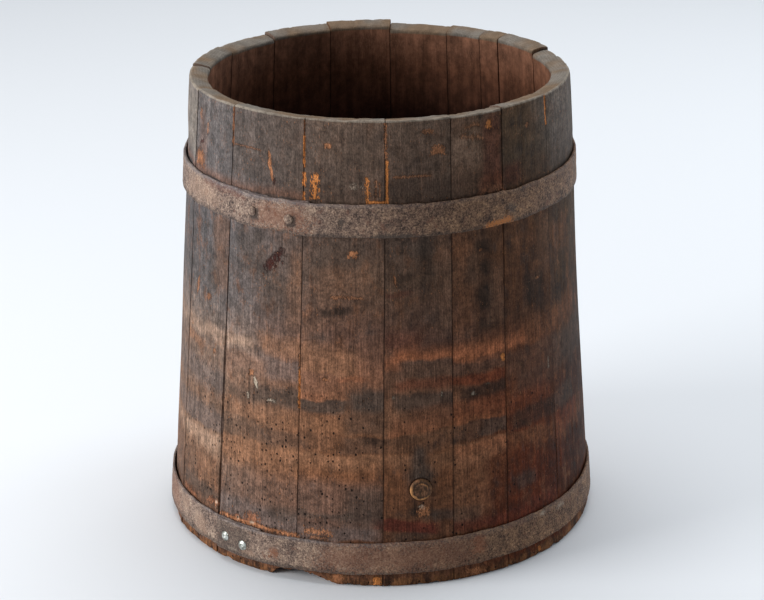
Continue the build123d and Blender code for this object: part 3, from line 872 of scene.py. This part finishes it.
    # Rim and foot: end grain
    ring_place = tree.add(tree.times(depth, 0.9), tree.times(tree.math("ABSOLUTE", arc), 0.1))
    rings = tree.math("SINE", tree.add(tree.times(ring_place, 2.4), tree.times(clouds, 6.0)))
    pore_place = tree.vector(tree.times(arc, 1.1), tree.times(depth, 1.1), stave.shift)
    pores = tree.noise(pore_place, detail=3.0, roughness=0.7)
    end_tone = tree.add(tree.vary(pores, 0.68, 1.22), tree.times(rings, 0.08))
    rim = tree.mix(tree.step(wide_clouds, 0.35, 0.65), srgb("79726a"), srgb("766351"))
    rim = tree.scale_colour(rim, tree.times(end_tone, tree.vary(clouds, 0.8, 1.15)))
    near_top = tree.add(z, tree.times(chips, 2.0))
    near_top = tree.add(near_top, tree.step(depth, 6.0, 18.0, 0.0, RIM_SLOPE + 1.5))
    on_rim = tree.times(tree.step(near_top, stave.top - 3.4, stave.top - 1.8), tree.step(depth, 0.6, 1.8))
    colour = tree.mix(on_rim, colour, rim)
    # Paler along the rim's outer edge
    pale_rim_edge = tree.step(near_top, stave.top - 2.0, stave.top - 1.0)
    pale_rim_edge = tree.times(pale_rim_edge, tree.step(depth, 3.0, 1.4))
    colour = tree.paint(colour, tree.times(pale_rim_edge, tree.step(clouds, 0.35, 0.6, 0.25, 0.85)), "948a7d")
    fibres = tree.add(tree.times(clouds, 0.25), tree.times(streaks, 0.25))
    fibres = tree.add(tree.times(warmth, 0.5), fibres)
    foot = tree.mix(tree.step(fibres, 0.44, 0.57), srgb("3d281d"), srgb("865a3a"))
    foot = tree.scale_colour(foot, tree.times(end_tone, tree.vary(grit, 0.7, 1.3)))
    ragged = tree.times(tree.add(chips, tree.signed(clouds, 1.4)), 22.0)
    on_foot = tree.step(tree.add(z, ragged), 11.0, 4.0)
    colour = tree.mix(tree.times(on_foot, tree.step(bared, 0.6, 0.2)), colour, foot)

    # Dirt in the joints
    edge = joint_distance(tree, stave, azimuth, z)
    dirt = tree.step(tree.add(edge, tree.times(chips, 2.0)), 1.3, 0.1, 0.0, 0.6)
    dirt = tree.times(dirt, tree.step(bared, 0.6, 0.2))
    dirt = tree.times(dirt, tree.step(on_rim, 1.0, 0.0, 0.75, 1.0))
    colour = tree.mix(dirt, colour, tree.mix(on_rim, srgb("1d130e"), srgb("5c3218")))
    # Worm holes painted near black: painted shade inside the holes
    colour = tree.paint(colour, tree.times(worm, 0.93), "0c0705")

    roughness = tree.add(tree.vary(streaks, 0.6, 0.75), tree.times(on_rim, 0.15))
    relief = tree.add(tree.times(lines, 0.6), tree.times(streaks, 0.8))
    relief = tree.add(relief, tree.times(grit, 0.8))
    relief = tree.add(relief, tree.times(worm, -2.5))
    relief = tree.add(relief, tree.times(bared, -0.6))
    relief = tree.add(relief, tree.times(tree.times(pores, on_rim), 0.6))
    normal = tree.bump(relief, 0.4)
    return tree.finish(colour, roughness, normal, specular=0.1)


# ==== Staves

# Foot, top and depth of the groove that holds the bottom head
GROOVE = (38.3, 45.7, 5.5)

# Rounding of the rim's inner edge, and how far the rim falls towards it
INNER_RIM_ROUND = 3.0
RIM_SLOPE = 2.4

# Azimuths across the broken foot, and how much is gone at each
BROKEN_FOOT = ([-27.6, -27.2, -23.0, -20.5, -15.5, -10.0], [0.0, 6.5, 8.5, 11.5, 7.0, 0.0])

# Half the gap of joints that differ from the rest, by the index of the stave on the right
JOINT_GAPS = {0: 0.12, 16: 0.16, 1: 0.12, 2: 0.08, 6: 0.9}

# The joint that gapes in the photo
WIDE_JOINT = 15


def joint_gap(joint, z, t):
    """Half the open gap of a joint at height z, t into the wall. Open joints close further in."""
    wide = JOINT_GAPS.get(joint, 0.1)
    deep = 7
    if joint == WIDE_JOINT:
        wide = 1.7 * (0.2 + 0.8 * ease((330 - z) / 150))
        deep = 4
    gap = wide * (1 + 0.5 * noise(z / 35, joint * 3.7, 5)) + 0.16 * ease((z - 432) / 18)
    return gap * (1 - ease(t / deep))


def swell(azimuth, z):
    """How far the tub is out of round: its top bulges on the right."""
    offset = (azimuth - SWELL_AZIMUTH + 180) % 360 - 180
    return SWELL * hump(offset, 0, SWELL_REACH) * ease((z - SWELL_FROM) / SWELL_RISE)


def foot_height(azimuth, seed):
    """How far the worn foot stands above the floor."""
    worn = np.clip(rough(azimuth / 1.6, 0.0, seed, 4) * 1.8 - 0.5, 0, 3.5)
    azimuth = (azimuth + 180) % 360 - 180
    broken = np.interp(azimuth, *BROKEN_FOOT)
    torn = broken * 0.2 * rough(azimuth / 0.45, 0.3, seed + 3, 3)
    return np.maximum(worn, broken + torn)


def make_stave(stave):
    width = arc_mm(stave.width, 0)
    across = spaced(width, 1.9) / width
    through = spaced(WALL, 2.4)
    groove_rows = [GROOVE[0] - 0.06, GROOVE[0] + 0.06, GROOVE[1] - 0.06, GROOVE[1] + 0.06]
    along = np.unique(np.concatenate([spaced(stave.top, 2.4), groove_rows]))
    points, faces = box_shell(across, through, along)
    u, t, z = points.T
    seed = stave.seed

    azimuth = stave.start + u * stave.width
    foot = foot_height(azimuth, seed + 5) * (1 - 0.4 * t / WALL)
    lift = foot * ease(1 - z / (foot + 9))
    corner = 0.5 + 0.25 * noise(z / 18, u * 2, seed + 1)
    corner = np.where((u < 0.5) & (stave.index == 15), corner + 0.7, corner)
    worn = ease((noise(azimuth / 1.7, 3.0, seed + 4) - 0.5) / 0.3)
    rim_round = 1.2 + 0.5 * noise(azimuth / 3, 0.0, seed + 2) + 1.6 * worn
    near_rim = z > stave.top - 12
    rim_round = np.where(t > WALL / 2, INNER_RIM_ROUND, rim_round)
    ends = np.where(z > stave.top / 2, rim_round, 1.6)
    s, t, z = rounded(
        np.stack([u * width, t, z], axis=-1),
        (width, WALL, stave.top),
        (corner, np.where(near_rim, rim_round, 0.6), ends),
    )
    u = s / width
    first, last = stave.edges(z)
    azimuth = first + u * (last - first)
    arc = (u - 0.5) * arc_mm(stave.width, z)

    # Open joints are widest at the outer face
    inner_gap = 0.5 if stave.index in (5, 6) else 0.06
    opening = ease((t - 9) / 6)
    joints = (stave.index, (stave.index + 1) % len(STAVES))
    left, right = [joint_gap(joint, z, t) + inner_gap * opening for joint in joints]
    side = np.clip(np.abs(2 * u - 1) ** 12, 0, 1)
    push = np.where(u < 0.5, left, -right) * side
    azimuth = azimuth + np.degrees(push / outer_radius(z))

    # Outer face: nearly flat boards, planing waves, ridges of grain and knocks
    outness = ease(1 - t / 7)
    inness = ease((t - 11) / 7)
    sagitta = outer_radius(z) * (1 - math.cos(math.radians(stave.width / 2)))
    flat = stave.flat * sagitta * (1 - (2 * u - 1) ** 2) * (1 - 0.8 * ease((z - 385) / 30))
    waves = 0.3 * noise(arc / 26, z / 85, seed + 7) + 0.12 * noise(arc / 3.1, z / 90, seed + 8)
    knocks = 0.5 * ease((noise(arc / 7, z / 11, seed + 9) - 0.62) / 0.3)
    outer = -stave.drop - flat + waves - knocks
    inner = 0.5 * noise(arc / 22, z / 70, seed + 10) + 0.15 * noise(arc / 4, z / 60, seed + 11)
    in_groove = (z > GROOVE[0]) & (z < GROOVE[1])
    inner = np.where(in_groove, GROOVE[2], inner)
    radius = outer_radius(z) - t + outer * outness + inner * inness + swell(azimuth, z)

    # Rim: a slight slope along the stave and small dips
    near_top = ease((z - stave.top + 14) / 14)
    dips = 0.3 * rough(arc / 9, t / 12, seed + 12)
    dips = dips - 0.5 * ease((noise(arc / 5, t / 9, seed + 13) - 0.6) / 0.3)
    slope = stave.top_tilt * (u - 0.5) - RIM_SLOPE * ease((t - 5) / 13)
    z = z + near_top * (slope + dips) + lift
    obj = make_object(stave.name + "_wood", from_cylinder(azimuth, radius, z), faces, shade_stave(stave))
    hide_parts(stave.name)
    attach(obj, "tub")
    return obj


# ==== Hoops

# The strip, its gap to the wood, how far the lap lifts it, and the bend beside the lap, in degrees
HOOP_THICKNESS = 2.4
HOOP_FIT = 0.15
LAP_LIFT = 2.5
JOGGLE = 11.0

# Azimuths of both ends of each strip, and how far it sits out of level
HOOPS = {
    "upper_hoop": {"outer_end": -43.5, "inner_end": -19.5, "seed": 51, "tilt": 0.0},
    "lower_hoop": {"outer_end": -47.6, "inner_end": -33.0, "seed": 52, "tilt": 2.5},
}

# Colour of the iron from dark to light
IRON = [(0.1, "2c221e"), (0.32, "57463e"), (0.5, "786459"), (0.68, "96806f"), (0.92, "bda793")]


def shade_iron(name, seed, low=0.0, high=1000.0):
    """Old strip iron: mottled grey-brown rust, browner and darker to the right as painted shade, with a
    bluish painted highlight along the top edge on the left and painted shade along the foot.
    """
    tree = Tree(name)
    angle, _, z = tree.place()
    azimuth = tree.times(angle, math.degrees(1))
    place = tree.spot(location=(seed * 31, seed * 17, seed * 13))
    patches = tree.noise(place, 0.07, 6.0, 0.7)
    blots = tree.noise(place, 0.28, 5.0, 0.75, 0.3)
    grit = tree.noise(place, 0.6, 4.0, 0.8)
    pits, _ = tree.cells(place, 0.36)
    shade = tree.add(tree.signed(patches, 1.1), tree.signed(blots, 0.6))
    shade = tree.add(tree.add(shade, tree.signed(grit, 2.05)), 0.5)
    colour = tree.ramp(shade, IRON)
    turned = tree.add(tree.math("SINE", angle), tree.signed(patches, 0.6))
    # Browner and darker towards the right: painted shade of the side turned from the light
    shaded_browner = tree.mix(1.0, colour, srgb("e4c49c"), blend_type="MULTIPLY")
    colour = tree.mix(tree.step(turned, -0.65, 0.7, 0.0, 0.85), colour, shaded_browner)
    rusty = tree.noise(place, 0.13, 4.0, 0.6)
    colour = tree.paint(colour, tree.step(rusty, 0.56, 0.7, 0.0, 0.5), "6e4534")
    edge_noise = tree.signed(blots, 9.0)
    # Bluish painted highlight along the top edge, strongest on the left
    painted_top_highlight = tree.step(tree.add(z, edge_noise), high - 5.0, high - 1.0)
    painted_top_highlight = tree.times(painted_top_highlight, tree.step(turned, 0.2, -0.65, 0.1, 0.4))
    colour = tree.paint(colour, painted_top_highlight, "6d6f76")
    # Painted shade along the lower edge
    painted_foot_shade = tree.step(tree.add(z, edge_noise), low + 4.5, low + 1.0)
    colour = tree.paint(colour, tree.times(painted_foot_shade, 0.55), "332b27")
    chips = tree.add(tree.noise(place, 0.55, 3.0, 0.7), -0.5)
    marks = IRON_MARKS.get(name, [])
    colour, _ = add_marks(tree, colour, azimuth, z, chips, marks, IRON_MARK_EDGE)
    roughness = tree.vary(grit, 0.78, 0.5)
    relief = tree.add(tree.times(grit, 1.6), tree.times(tree.step(pits, 0.0, 0.35), 0.5))
    relief = tree.add(relief, tree.times(blots, 1.0))
    normal = tree.bump(relief, 0.45)
    return tree.finish(colour, roughness, normal, specular=0.3)


# Marks on the hoops, given like the scrapes
IRON_MARKS = {
    "iron_upper_hoop": [
        ("bare", 1.0, 31.0, 39.8, 341, 346.5, 2, 4.5), ("dark", 0.8, -11.0, -9.6, 351, 361, 0, 4.0),
        ("dark", 0.7, -31, -26, 341, 346, 0, 4.0), ("dark", 0.7, -2, 9, 341, 346, 0, 4.0),
        ("dark", 0.75, 38.0, 41.5, 350, 360, 0, 6.0), ("dark", 0.7, -65, -63.4, 354, 360, 0, 3.0),
        ("pale", 0.45, -70, -52, 350, 366, 0, 14.0), ("rust", 0.5, -36, -20, 346, 368, 0, 16.0),
        # The two black marks at the upper rivets, to the right of and below each head, are painted
        # shadows of the rivets
        ("wine", 0.5, -60, -40, 366, 371, 0, 6.0), ("black", 0.85, -38.0, -34.9, 349.8, 360.6, 0, 1.6),
        ("black", 0.85, -26.1, -23.0, 348.3, 359.1, 0, 1.6),
    ],
    "iron_lower_hoop": [
        ("dark", 0.55, -48.3, -36.0, 14, 40, 0, 8.0), ("pale", 0.5, -58, -53, 14, 32, 0, 9.0),
        ("rust", 0.8, -29.6, -27.6, 20, 30, 0, 5.0), ("orange", 0.5, 24.0, 27.5, 24, 42, 0, 6.0),
        ("rust", 0.45, -82, -70, 14, 42, 0, 16.0), ("pale", 0.5, -68, -63, 22, 38, 3, 9.0),
        ("white", 0.6, 46.5, 48.2, 41, 44, 0, 2.4), ("white", 0.45, 54.0, 57.0, 38, 42, 0, 3.4),
        ("rust", 0.45, -16, 24, 17, 42, 0, 22.0), ("pale", 0.6, -38.6, -34.5, 15.5, 20, 0, 4.4),
        ("white", 0.35, -43, -40, 15, 17, 0, 2.4),
    ],
}


def make_hoop(name, material):
    hoop = HOOPS[name]
    seed = hoop["seed"]
    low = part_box(name)[0][2] / MM
    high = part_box(name)[1][2] / MM
    width = high - low
    first, last = hoop["outer_end"], hoop["inner_end"] + 360
    lap_start = hoop["inner_end"] + 1.5
    length = math.radians(last - first) * outer_radius((low + high) / 2)
    through = np.array([0.0, 0.3, 0.7, 1.2, 1.7, 2.1, HOOP_THICKNESS])
    points, faces = box_shell(spaced(length, 2.3), through, spaced(width, 2.1))
    a, t, w = rounded(points, (length, HOOP_THICKNESS, width), (2.4, 0.7, 0.7))
    azimuth = first + (last - first) * a / length
    turn = azimuth * 3.7

    # The strip's edges wander and are nicked; its face is uneven from the hammer
    edge = np.abs(2 * w / width - 1) ** 3 * np.sign(w - width / 2)
    tilt = hoop["tilt"] * np.sin(np.radians(azimuth))
    nicks = 0.4 * edge * rough(turn / 8, 1.0 * (w > width / 2), seed + 1, 4)
    z = low + w + tilt + 0.45 * noise(turn / 26, 0.0, seed) + nicks
    lift = LAP_LIFT * (1 - ease((azimuth - lap_start) / JOGGLE))
    face = 0.28 * noise(turn / 22, w / 14, seed + 2) + 0.12 * rough(turn / 4.5, w / 4.5, seed + 3, 2)
    pits = 0.28 * ease((noise(turn / 2.9, w / 2.9, seed + 4) - 0.45) / 0.4)
    outside = t > HOOP_THICKNESS / 2
    radius = outer_radius(z) + HOOP_FIT + lift + t + np.where(outside, face - pits, 0.5 * face.clip(0))
    radius = radius + swell(azimuth, z)
    obj = make_object(name + "_iron", from_cylinder(azimuth, radius, z), faces, material)
    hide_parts(name)
    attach(obj, "tub")
    return obj


# ==== Fasteners


def fastener_places(node, count):
    """Azimuth and height of each solid of a node, from left to right."""
    points = np.array([v.co for v in NODES[node].data.vertices]) / MM
    azimuth = np.degrees(np.arctan2(points[:, 0], -points[:, 1]))
    z = points[:, 2]
    split = (azimuth.min() + azimuth.max()) / 2
    groups = [azimuth < split, azimuth >= split] if count == 2 else [np.full(len(z), True)]
    return [[(v[group].min() + v[group].max()) / 2 for v in (azimuth, z)] for group in groups]


def head_outline(radius, height, shank, reach, dimple=None):
    """Outline of a domed head over a shank, from the shank's end to the top."""
    ball = (radius**2 + height**2) / (2 * height)
    profile = [(0, -reach), (shank * 0.6, -reach), (shank, -reach + 0.2), (shank, 0.0)]
    profile += [(radius * 0.93, 0.0), (radius, 0.18)]
    inner = dimple[0] if dimple else 0.0
    steps = 9
    for i in range(1, steps):
        r = radius * (1 - i / steps) if not dimple else radius - (radius - inner) * i / (steps - 1)
        profile.append((r, max(0.2, math.sqrt(ball**2 - r**2) - ball + height)))
    if dimple:
        floor = height - dimple[1]
        profile += [(inner * 0.92, height - 0.3), (inner * 0.85, floor)]
        profile += [(inner * 0.4, floor - 0.1), (0, floor - 0.1)]
    else:
        profile.append((0, height))
    return profile


def make_heads(name, node, count, outline, proud, material, seed):
    """Battered heads at the places of a CAD node's solids."""
    shapes = []
    for number, place in enumerate(fastener_places(node, count)):

        def batter(points, number=number):
            x, y, z = points.T
            swell = 1 + 0.05 * noise(x / 2.5, y / 2.5, seed + number) * (z > 0)
            height = z + 0.22 * rough(x / 1.6, y / 1.6, seed + 9 + number) * (z > 0.3)
            return np.stack([x * swell, y * swell, height], axis=-1)

        points, faces = lathe(outline, 40, batter)
        shapes.append((placed(points, surface_matrix(*place, proud=proud)), faces))
    obj = make_object(name, *joined(shapes), material)
    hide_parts(node)
    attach(obj, "tub")
    return obj


def shade_aluminium():
    tree = Tree("dull_aluminium")
    fine = tree.noise(tree.coordinates(), 900.0, 3.0, 0.6)
    marks = tree.noise(tree.coordinates(), 260.0, 3.0, 0.6)
    colour = tree.mix(tree.step(marks, 0.4, 0.62), srgb("c9cdc8"), srgb("8d8f86"))
    colour = tree.paint(colour, tree.step(fine, 0.6, 0.72, 0.0, 0.6), "5c5148")
    roughness = tree.vary(fine, 0.28, 0.5)
    normal = tree.bump(tree.add(fine, marks), 0.12)
    return tree.finish(colour, roughness, normal, metallic=0.85, specular=0.5)


# ==== Bung

# Radius where the bung meets the outer face, and how much that grows for each millimetre outward
BUNG_RADIUS = 10.5
BUNG_TAPER = 1 / 28
BUNG_PROUD = 3.0
BUNG_LENGTH = 25.0


def bung_place():
    """Azimuth and height where the bung's axis meets the outer face."""
    joint = frame["joints"][0]
    axis = Vector(joint["axis"])
    low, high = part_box("bung")
    middle = (Vector(low) + Vector(high)) / 2 / MM
    # The plug's middle lies along the axis from the face by half of what is inside less what is proud
    face = middle + axis * (BUNG_LENGTH / 2 - BUNG_PROUD)
    return math.degrees(math.atan2(face.x, -face.y)), face.z


def shade_bung():
    """Dark end grain with a rubbed, lighter rim and a painted highlight on the upper side, and plain wood
    along the plug.
    """
    tree = Tree("wood_bung")
    matrix = surface_matrix(*bung_place()).inverted()
    place = tree.spot(location=matrix.translation, rotation=matrix.to_euler("XYZ"))
    x, y, z = tree.split(place)
    radius = tree.length(x, y)
    grain_place = tree.vector(tree.times(x, 0.9), tree.times(y, 0.25), tree.times(z, 0.1))
    grain = tree.noise(grain_place, detail=4.0, roughness=0.65)
    blots = tree.noise(place, 0.28, 4.0, 0.6)
    wander = tree.signed(blots, 5.0)
    face = tree.mix(tree.step(blots, 0.4, 0.62), srgb("46301f"), srgb("735039"))
    lower = tree.step(tree.add(tree.add(y, tree.times(x, 0.6)), wander), 1.0, -5.0, 0.12, 1.0)
    rubbed = tree.step(tree.add(radius, wander), 8.0, 9.4)
    colour = tree.paint(face, tree.times(rubbed, lower), "a5764a")

    def ring(middle, half_width, wavy):
        off = tree.add(tree.add(radius, tree.times(wander, wavy)), -middle)
        return tree.step(tree.math("ABSOLUTE", off), half_width, 0.2)

    # Painted highlight on the upper inner edge of the end
    upper = tree.step(tree.add(y, tree.times(x, 0.5)), 3.5, 6.0, 0.0, 0.55)
    colour = tree.paint(colour, tree.times(ring(6.3, 0.8, 0.3), upper), "b98250")
    groove = ring(7.5, 0.9, 0.4)
    colour = tree.paint(colour, tree.times(groove, 0.6), "1d120d")
    colour = tree.scale_colour(colour, tree.vary(grain, 0.6, 1.35))
    body = tree.mix(tree.step(grain, 0.35, 0.65), srgb("6b4b38"), srgb("4a3024"))
    colour = tree.mix(tree.step(z, 1.2, 0.0), colour, body)
    normal = tree.bump(tree.add(grain, blots), 0.5)
    return tree.finish(colour, tree.vary(grain, 0.5, 0.75), normal, specular=0.2)


def make_bung():
    small = BUNG_RADIUS - (BUNG_LENGTH - BUNG_PROUD) * BUNG_TAPER
    foot = BUNG_PROUD - BUNG_LENGTH
    big = BUNG_RADIUS + BUNG_PROUD * BUNG_TAPER
    profile = [(0, foot)]
    profile += [(r, foot) for r in (2.5, 5.0, 7.0, small - 1.2)]
    profile += [(small - 0.35, foot + 0.35), (small, foot + 1.2)]
    profile += [(small + (BUNG_RADIUS - small) * i / 12, foot * (1 - i / 12)) for i in range(1, 12)]
    profile += [(BUNG_RADIUS, 0.0), (big, BUNG_PROUD - 1.9), (big - 0.25, BUNG_PROUD - 1.1)]
    profile += [(big - 0.9, BUNG_PROUD - 0.4), (big - 1.8, BUNG_PROUD - 0.05)]
    profile += [(r, BUNG_PROUD) for r in (8.0, 7.2, 6.4, 5.6, 4.8, 4.0, 3.2, 2.4, 1.6, 0.8)]
    profile.append((0, BUNG_PROUD))

    def whittle(points):
        x, y, z = points.T
        out = ease((z - 1.0) / 1.5)
        angle = np.degrees(np.arctan2(y, x))
        chips = 0.55 * rough(np.cos(np.radians(angle)) * 2.2, np.sin(np.radians(angle)) * 2.2, 77, 3)
        swell = 1 - 0.035 * out * np.clip(chips + 0.3, 0, 1)
        crack = 0.7 * hump(x + 0.25 * y + 0.6 * noise(y / 3, 0.0, 78), 1.2, 0.7)
        rings = 0.12 * np.sin(y * 2.6 + noise(x / 4, y / 4, 79) * 2)
        dish = 0.35 * hump(np.hypot(x, y), 0, 9)
        top = out * (rings - crack - dish + 0.25 * rough(x / 3, y / 3, 80))
        return np.stack([x * swell, y * swell, z + top], axis=-1)

    points, faces = lathe(profile, 72, whittle)
    obj = make_object("bung_wood", placed(points, surface_matrix(*bung_place())), faces, shade_bung())
    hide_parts("bung")
    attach(obj, "bung")
    return obj


def carve_tap_hole(obj):
    """Tapered bore with a worn lip."""
    far = -(WALL + 12.0)
    bore = BUNG_RADIUS + 0.06
    lip = [(0.35, -0.75), (1.1, -0.3), (2.2, 0.0), (3.2, 0.5), (3.2, 6.0)]
    profile = [(0, far), (bore + far * BUNG_TAPER, far), (bore - 1.2 * BUNG_TAPER, -1.2)]
    profile += [(BUNG_RADIUS + wider, height) for wider, height in lip]
    profile.append((0, 6.0))
    points, faces = lathe(profile, 72)
    carve(obj, placed(points, surface_matrix(*bung_place())), faces)


# ==== Head


def shade_head(name, number):
    """Stained wood with its grain along Y, in a shade of its own, with dirt along the joints."""
    tree = Tree("wood_" + name)
    place = tree.spot(scale=(0.8, 0.02, 0.8), location=(7.3 * number, 3.1 * number, 0))
    grain = tree.noise(place, 1.0, 4.0, 0.6, 0.3)
    streaks = tree.noise(place, 0.2, 3.0, 0.6)
    stain = tree.noise(tree.coordinates(), 12.0, 5.0, 0.6)
    gain = random.Random(500 + number).uniform(1.6, 2.8)
    colour = tree.mix(tree.step(streaks, 0.35, 0.65), srgb("35221a", gain), srgb("70503c", gain))
    colour = tree.scale_colour(colour, tree.vary(grain, 0.7, 1.3))
    colour = tree.mix(tree.step(stain, 0.35, 0.7, 0.1, 0.7), colour, srgb("1f1613", 1.6))
    x = tree.split(tree.coordinates())[0]
    low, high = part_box(name)
    nearest = tree.math("MINIMUM", tree.add(x, -low[0]), tree.math("SUBTRACT", high[0], x))
    colour = tree.paint(colour, tree.step(nearest, 2.0 * MM, 0.4 * MM, 0.0, 0.9), "0c0806")
    normal = tree.bump(tree.add(grain, tree.times(stain, 0.4)), 0.5)
    return tree.finish(colour, tree.step(grain, 0.2, 0.8, 0.55, 0.75), normal, specular=0.35)


def dress_head():
    heads = sorted(name for name in NODES if name.startswith("head_"))
    for number, name in enumerate(heads):
        NODES[name].data.materials.clear()
        NODES[name].data.materials.append(shade_head(name, number))


# ==== Stage


def make_floor():
    """Wide pale disc, so that no view shows its edge."""
    tree = Tree("pale_floor")
    tint = tree.noise(tree.coordinates(), 0.6, 2.0)
    colour = tree.mix(tint, srgb("dfe3e8"), srgb("e2e6eb"))
    material = tree.finish(colour, 0.8, None, specular=0.2)
    rings = [0.5, 1, 2, 4, 8, 16, 40]
    segments = 64
    points = [(0, 0, 0)]
    faces = []
    for ring, radius in enumerate(rings):
        for s in range(segments):
            a = 2 * math.pi * s / segments
            points.append((radius * math.cos(a), radius * math.sin(a), 0))
    for s in range(segments):
        t = (s + 1) % segments
        faces.append((0, 1 + s, 1 + t))
        for ring in range(len(rings) - 1):
            a, b = 1 + ring * segments, 1 + (ring + 1) * segments
            faces.append((a + s, b + s, b + t, a + t))
    floor = make_object("floor", np.array(points) / MM, faces, material)
    floor.location.z = -0.0002


def make_light(name, place, size, power, colour):
    data = bpy.data.lights.new(name, "AREA")
    data.shape = "RECTANGLE"
    data.size, data.size_y = size
    data.energy = power
    data.color = colour
    lamp = bpy.data.objects.new(name, data)
    lamp.location = place
    lamp.rotation_mode = "QUATERNION"
    lamp.rotation_quaternion = (Vector((0, 0, 0.22)) - Vector(place)).to_track_quat("-Z", "Y")
    bpy.context.scene.collection.objects.link(lamp)


def make_lights():
    world = bpy.data.worlds.new("studio")
    world.use_nodes = True
    background = world.node_tree.nodes["Background"]
    background.inputs["Color"].default_value = (0.86, 0.93, 1.0, 1.0)
    background.inputs["Strength"].default_value = 0.22
    bpy.context.scene.world = world
    make_light("window_left", (-2.7, -0.9, 1.0), (1.5, 1.5), 85, (1.0, 0.985, 0.97))
    make_light("wall_right", (2.5, 1.3, 1.0), (1.4, 1.6), 28, (0.90, 0.95, 1.0))
    make_light("ceiling", (0.0, 1.0, 3.9), (3.4, 3.4), 135, (1.0, 0.99, 0.98))


# Fitted to the photo's view: metres, degrees, and the lens in millimetres
CAMERA_PLACE = (0.0, -2.261, 1.0648)
CAMERA_TILT = 20.71
CAMERA_ROLL = -0.45
CAMERA_TURN = 0.06
CAMERA_LENS = 113.75


def make_camera():
    data = bpy.data.cameras.new("camera")
    data.sensor_width = 36
    data.lens = CAMERA_LENS
    camera = bpy.data.objects.new("camera", data)
    camera.location = CAMERA_PLACE
    camera.rotation_mode = "QUATERNION"
    tilt = Quaternion((1, 0, 0), math.radians(90 - CAMERA_TILT))
    roll = Quaternion((0, 0, 1), math.radians(CAMERA_ROLL))
    turn = Quaternion((0, 0, 1), -math.radians(CAMERA_TURN))
    camera.rotation_quaternion = turn @ tilt @ roll
    bpy.context.scene.collection.objects.link(camera)
    bpy.context.scene.camera = camera


# ==== Assembly


def main():
    bpy.context.scene.view_settings.view_transform = "Standard"
    make_camera()
    make_lights()
    make_floor()
    for stave in STAVES:
        obj = make_stave(stave)
        if stave.index == 0:
            carve_tap_hole(obj)

    for number, name in enumerate(HOOPS):
        low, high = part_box(name)[0][2] / MM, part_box(name)[1][2] / MM
        make_hoop(name, shade_iron("iron_" + name, 3 + 5 * number, low, high))
    iron = shade_iron("iron_rivets", 15)
    single = HOOP_FIT + HOOP_THICKNESS + 0.1
    lap = HOOP_FIT + 2 * HOOP_THICKNESS + 0.15
    reach = 2 * HOOP_THICKNESS
    domed = head_outline(4.7, 2.8, 2.5, reach)
    blind = head_outline(4.9, 1.9, 2.5, reach, dimple=(1.6, 1.0))
    nail = head_outline(3.0, 1.1, 1.3, 11.0)
    bright = shade_aluminium()
    make_heads("upper_rivets", "upper_hoop_rivets", 2, domed, lap, iron, 61)
    make_heads("lower_rivets", "lower_hoop_rivets", 2, blind, lap, bright, 63)
    make_heads("nail", "hoop_nail", 1, nail, single, iron, 65)
    make_bung()
    dress_head()


main()
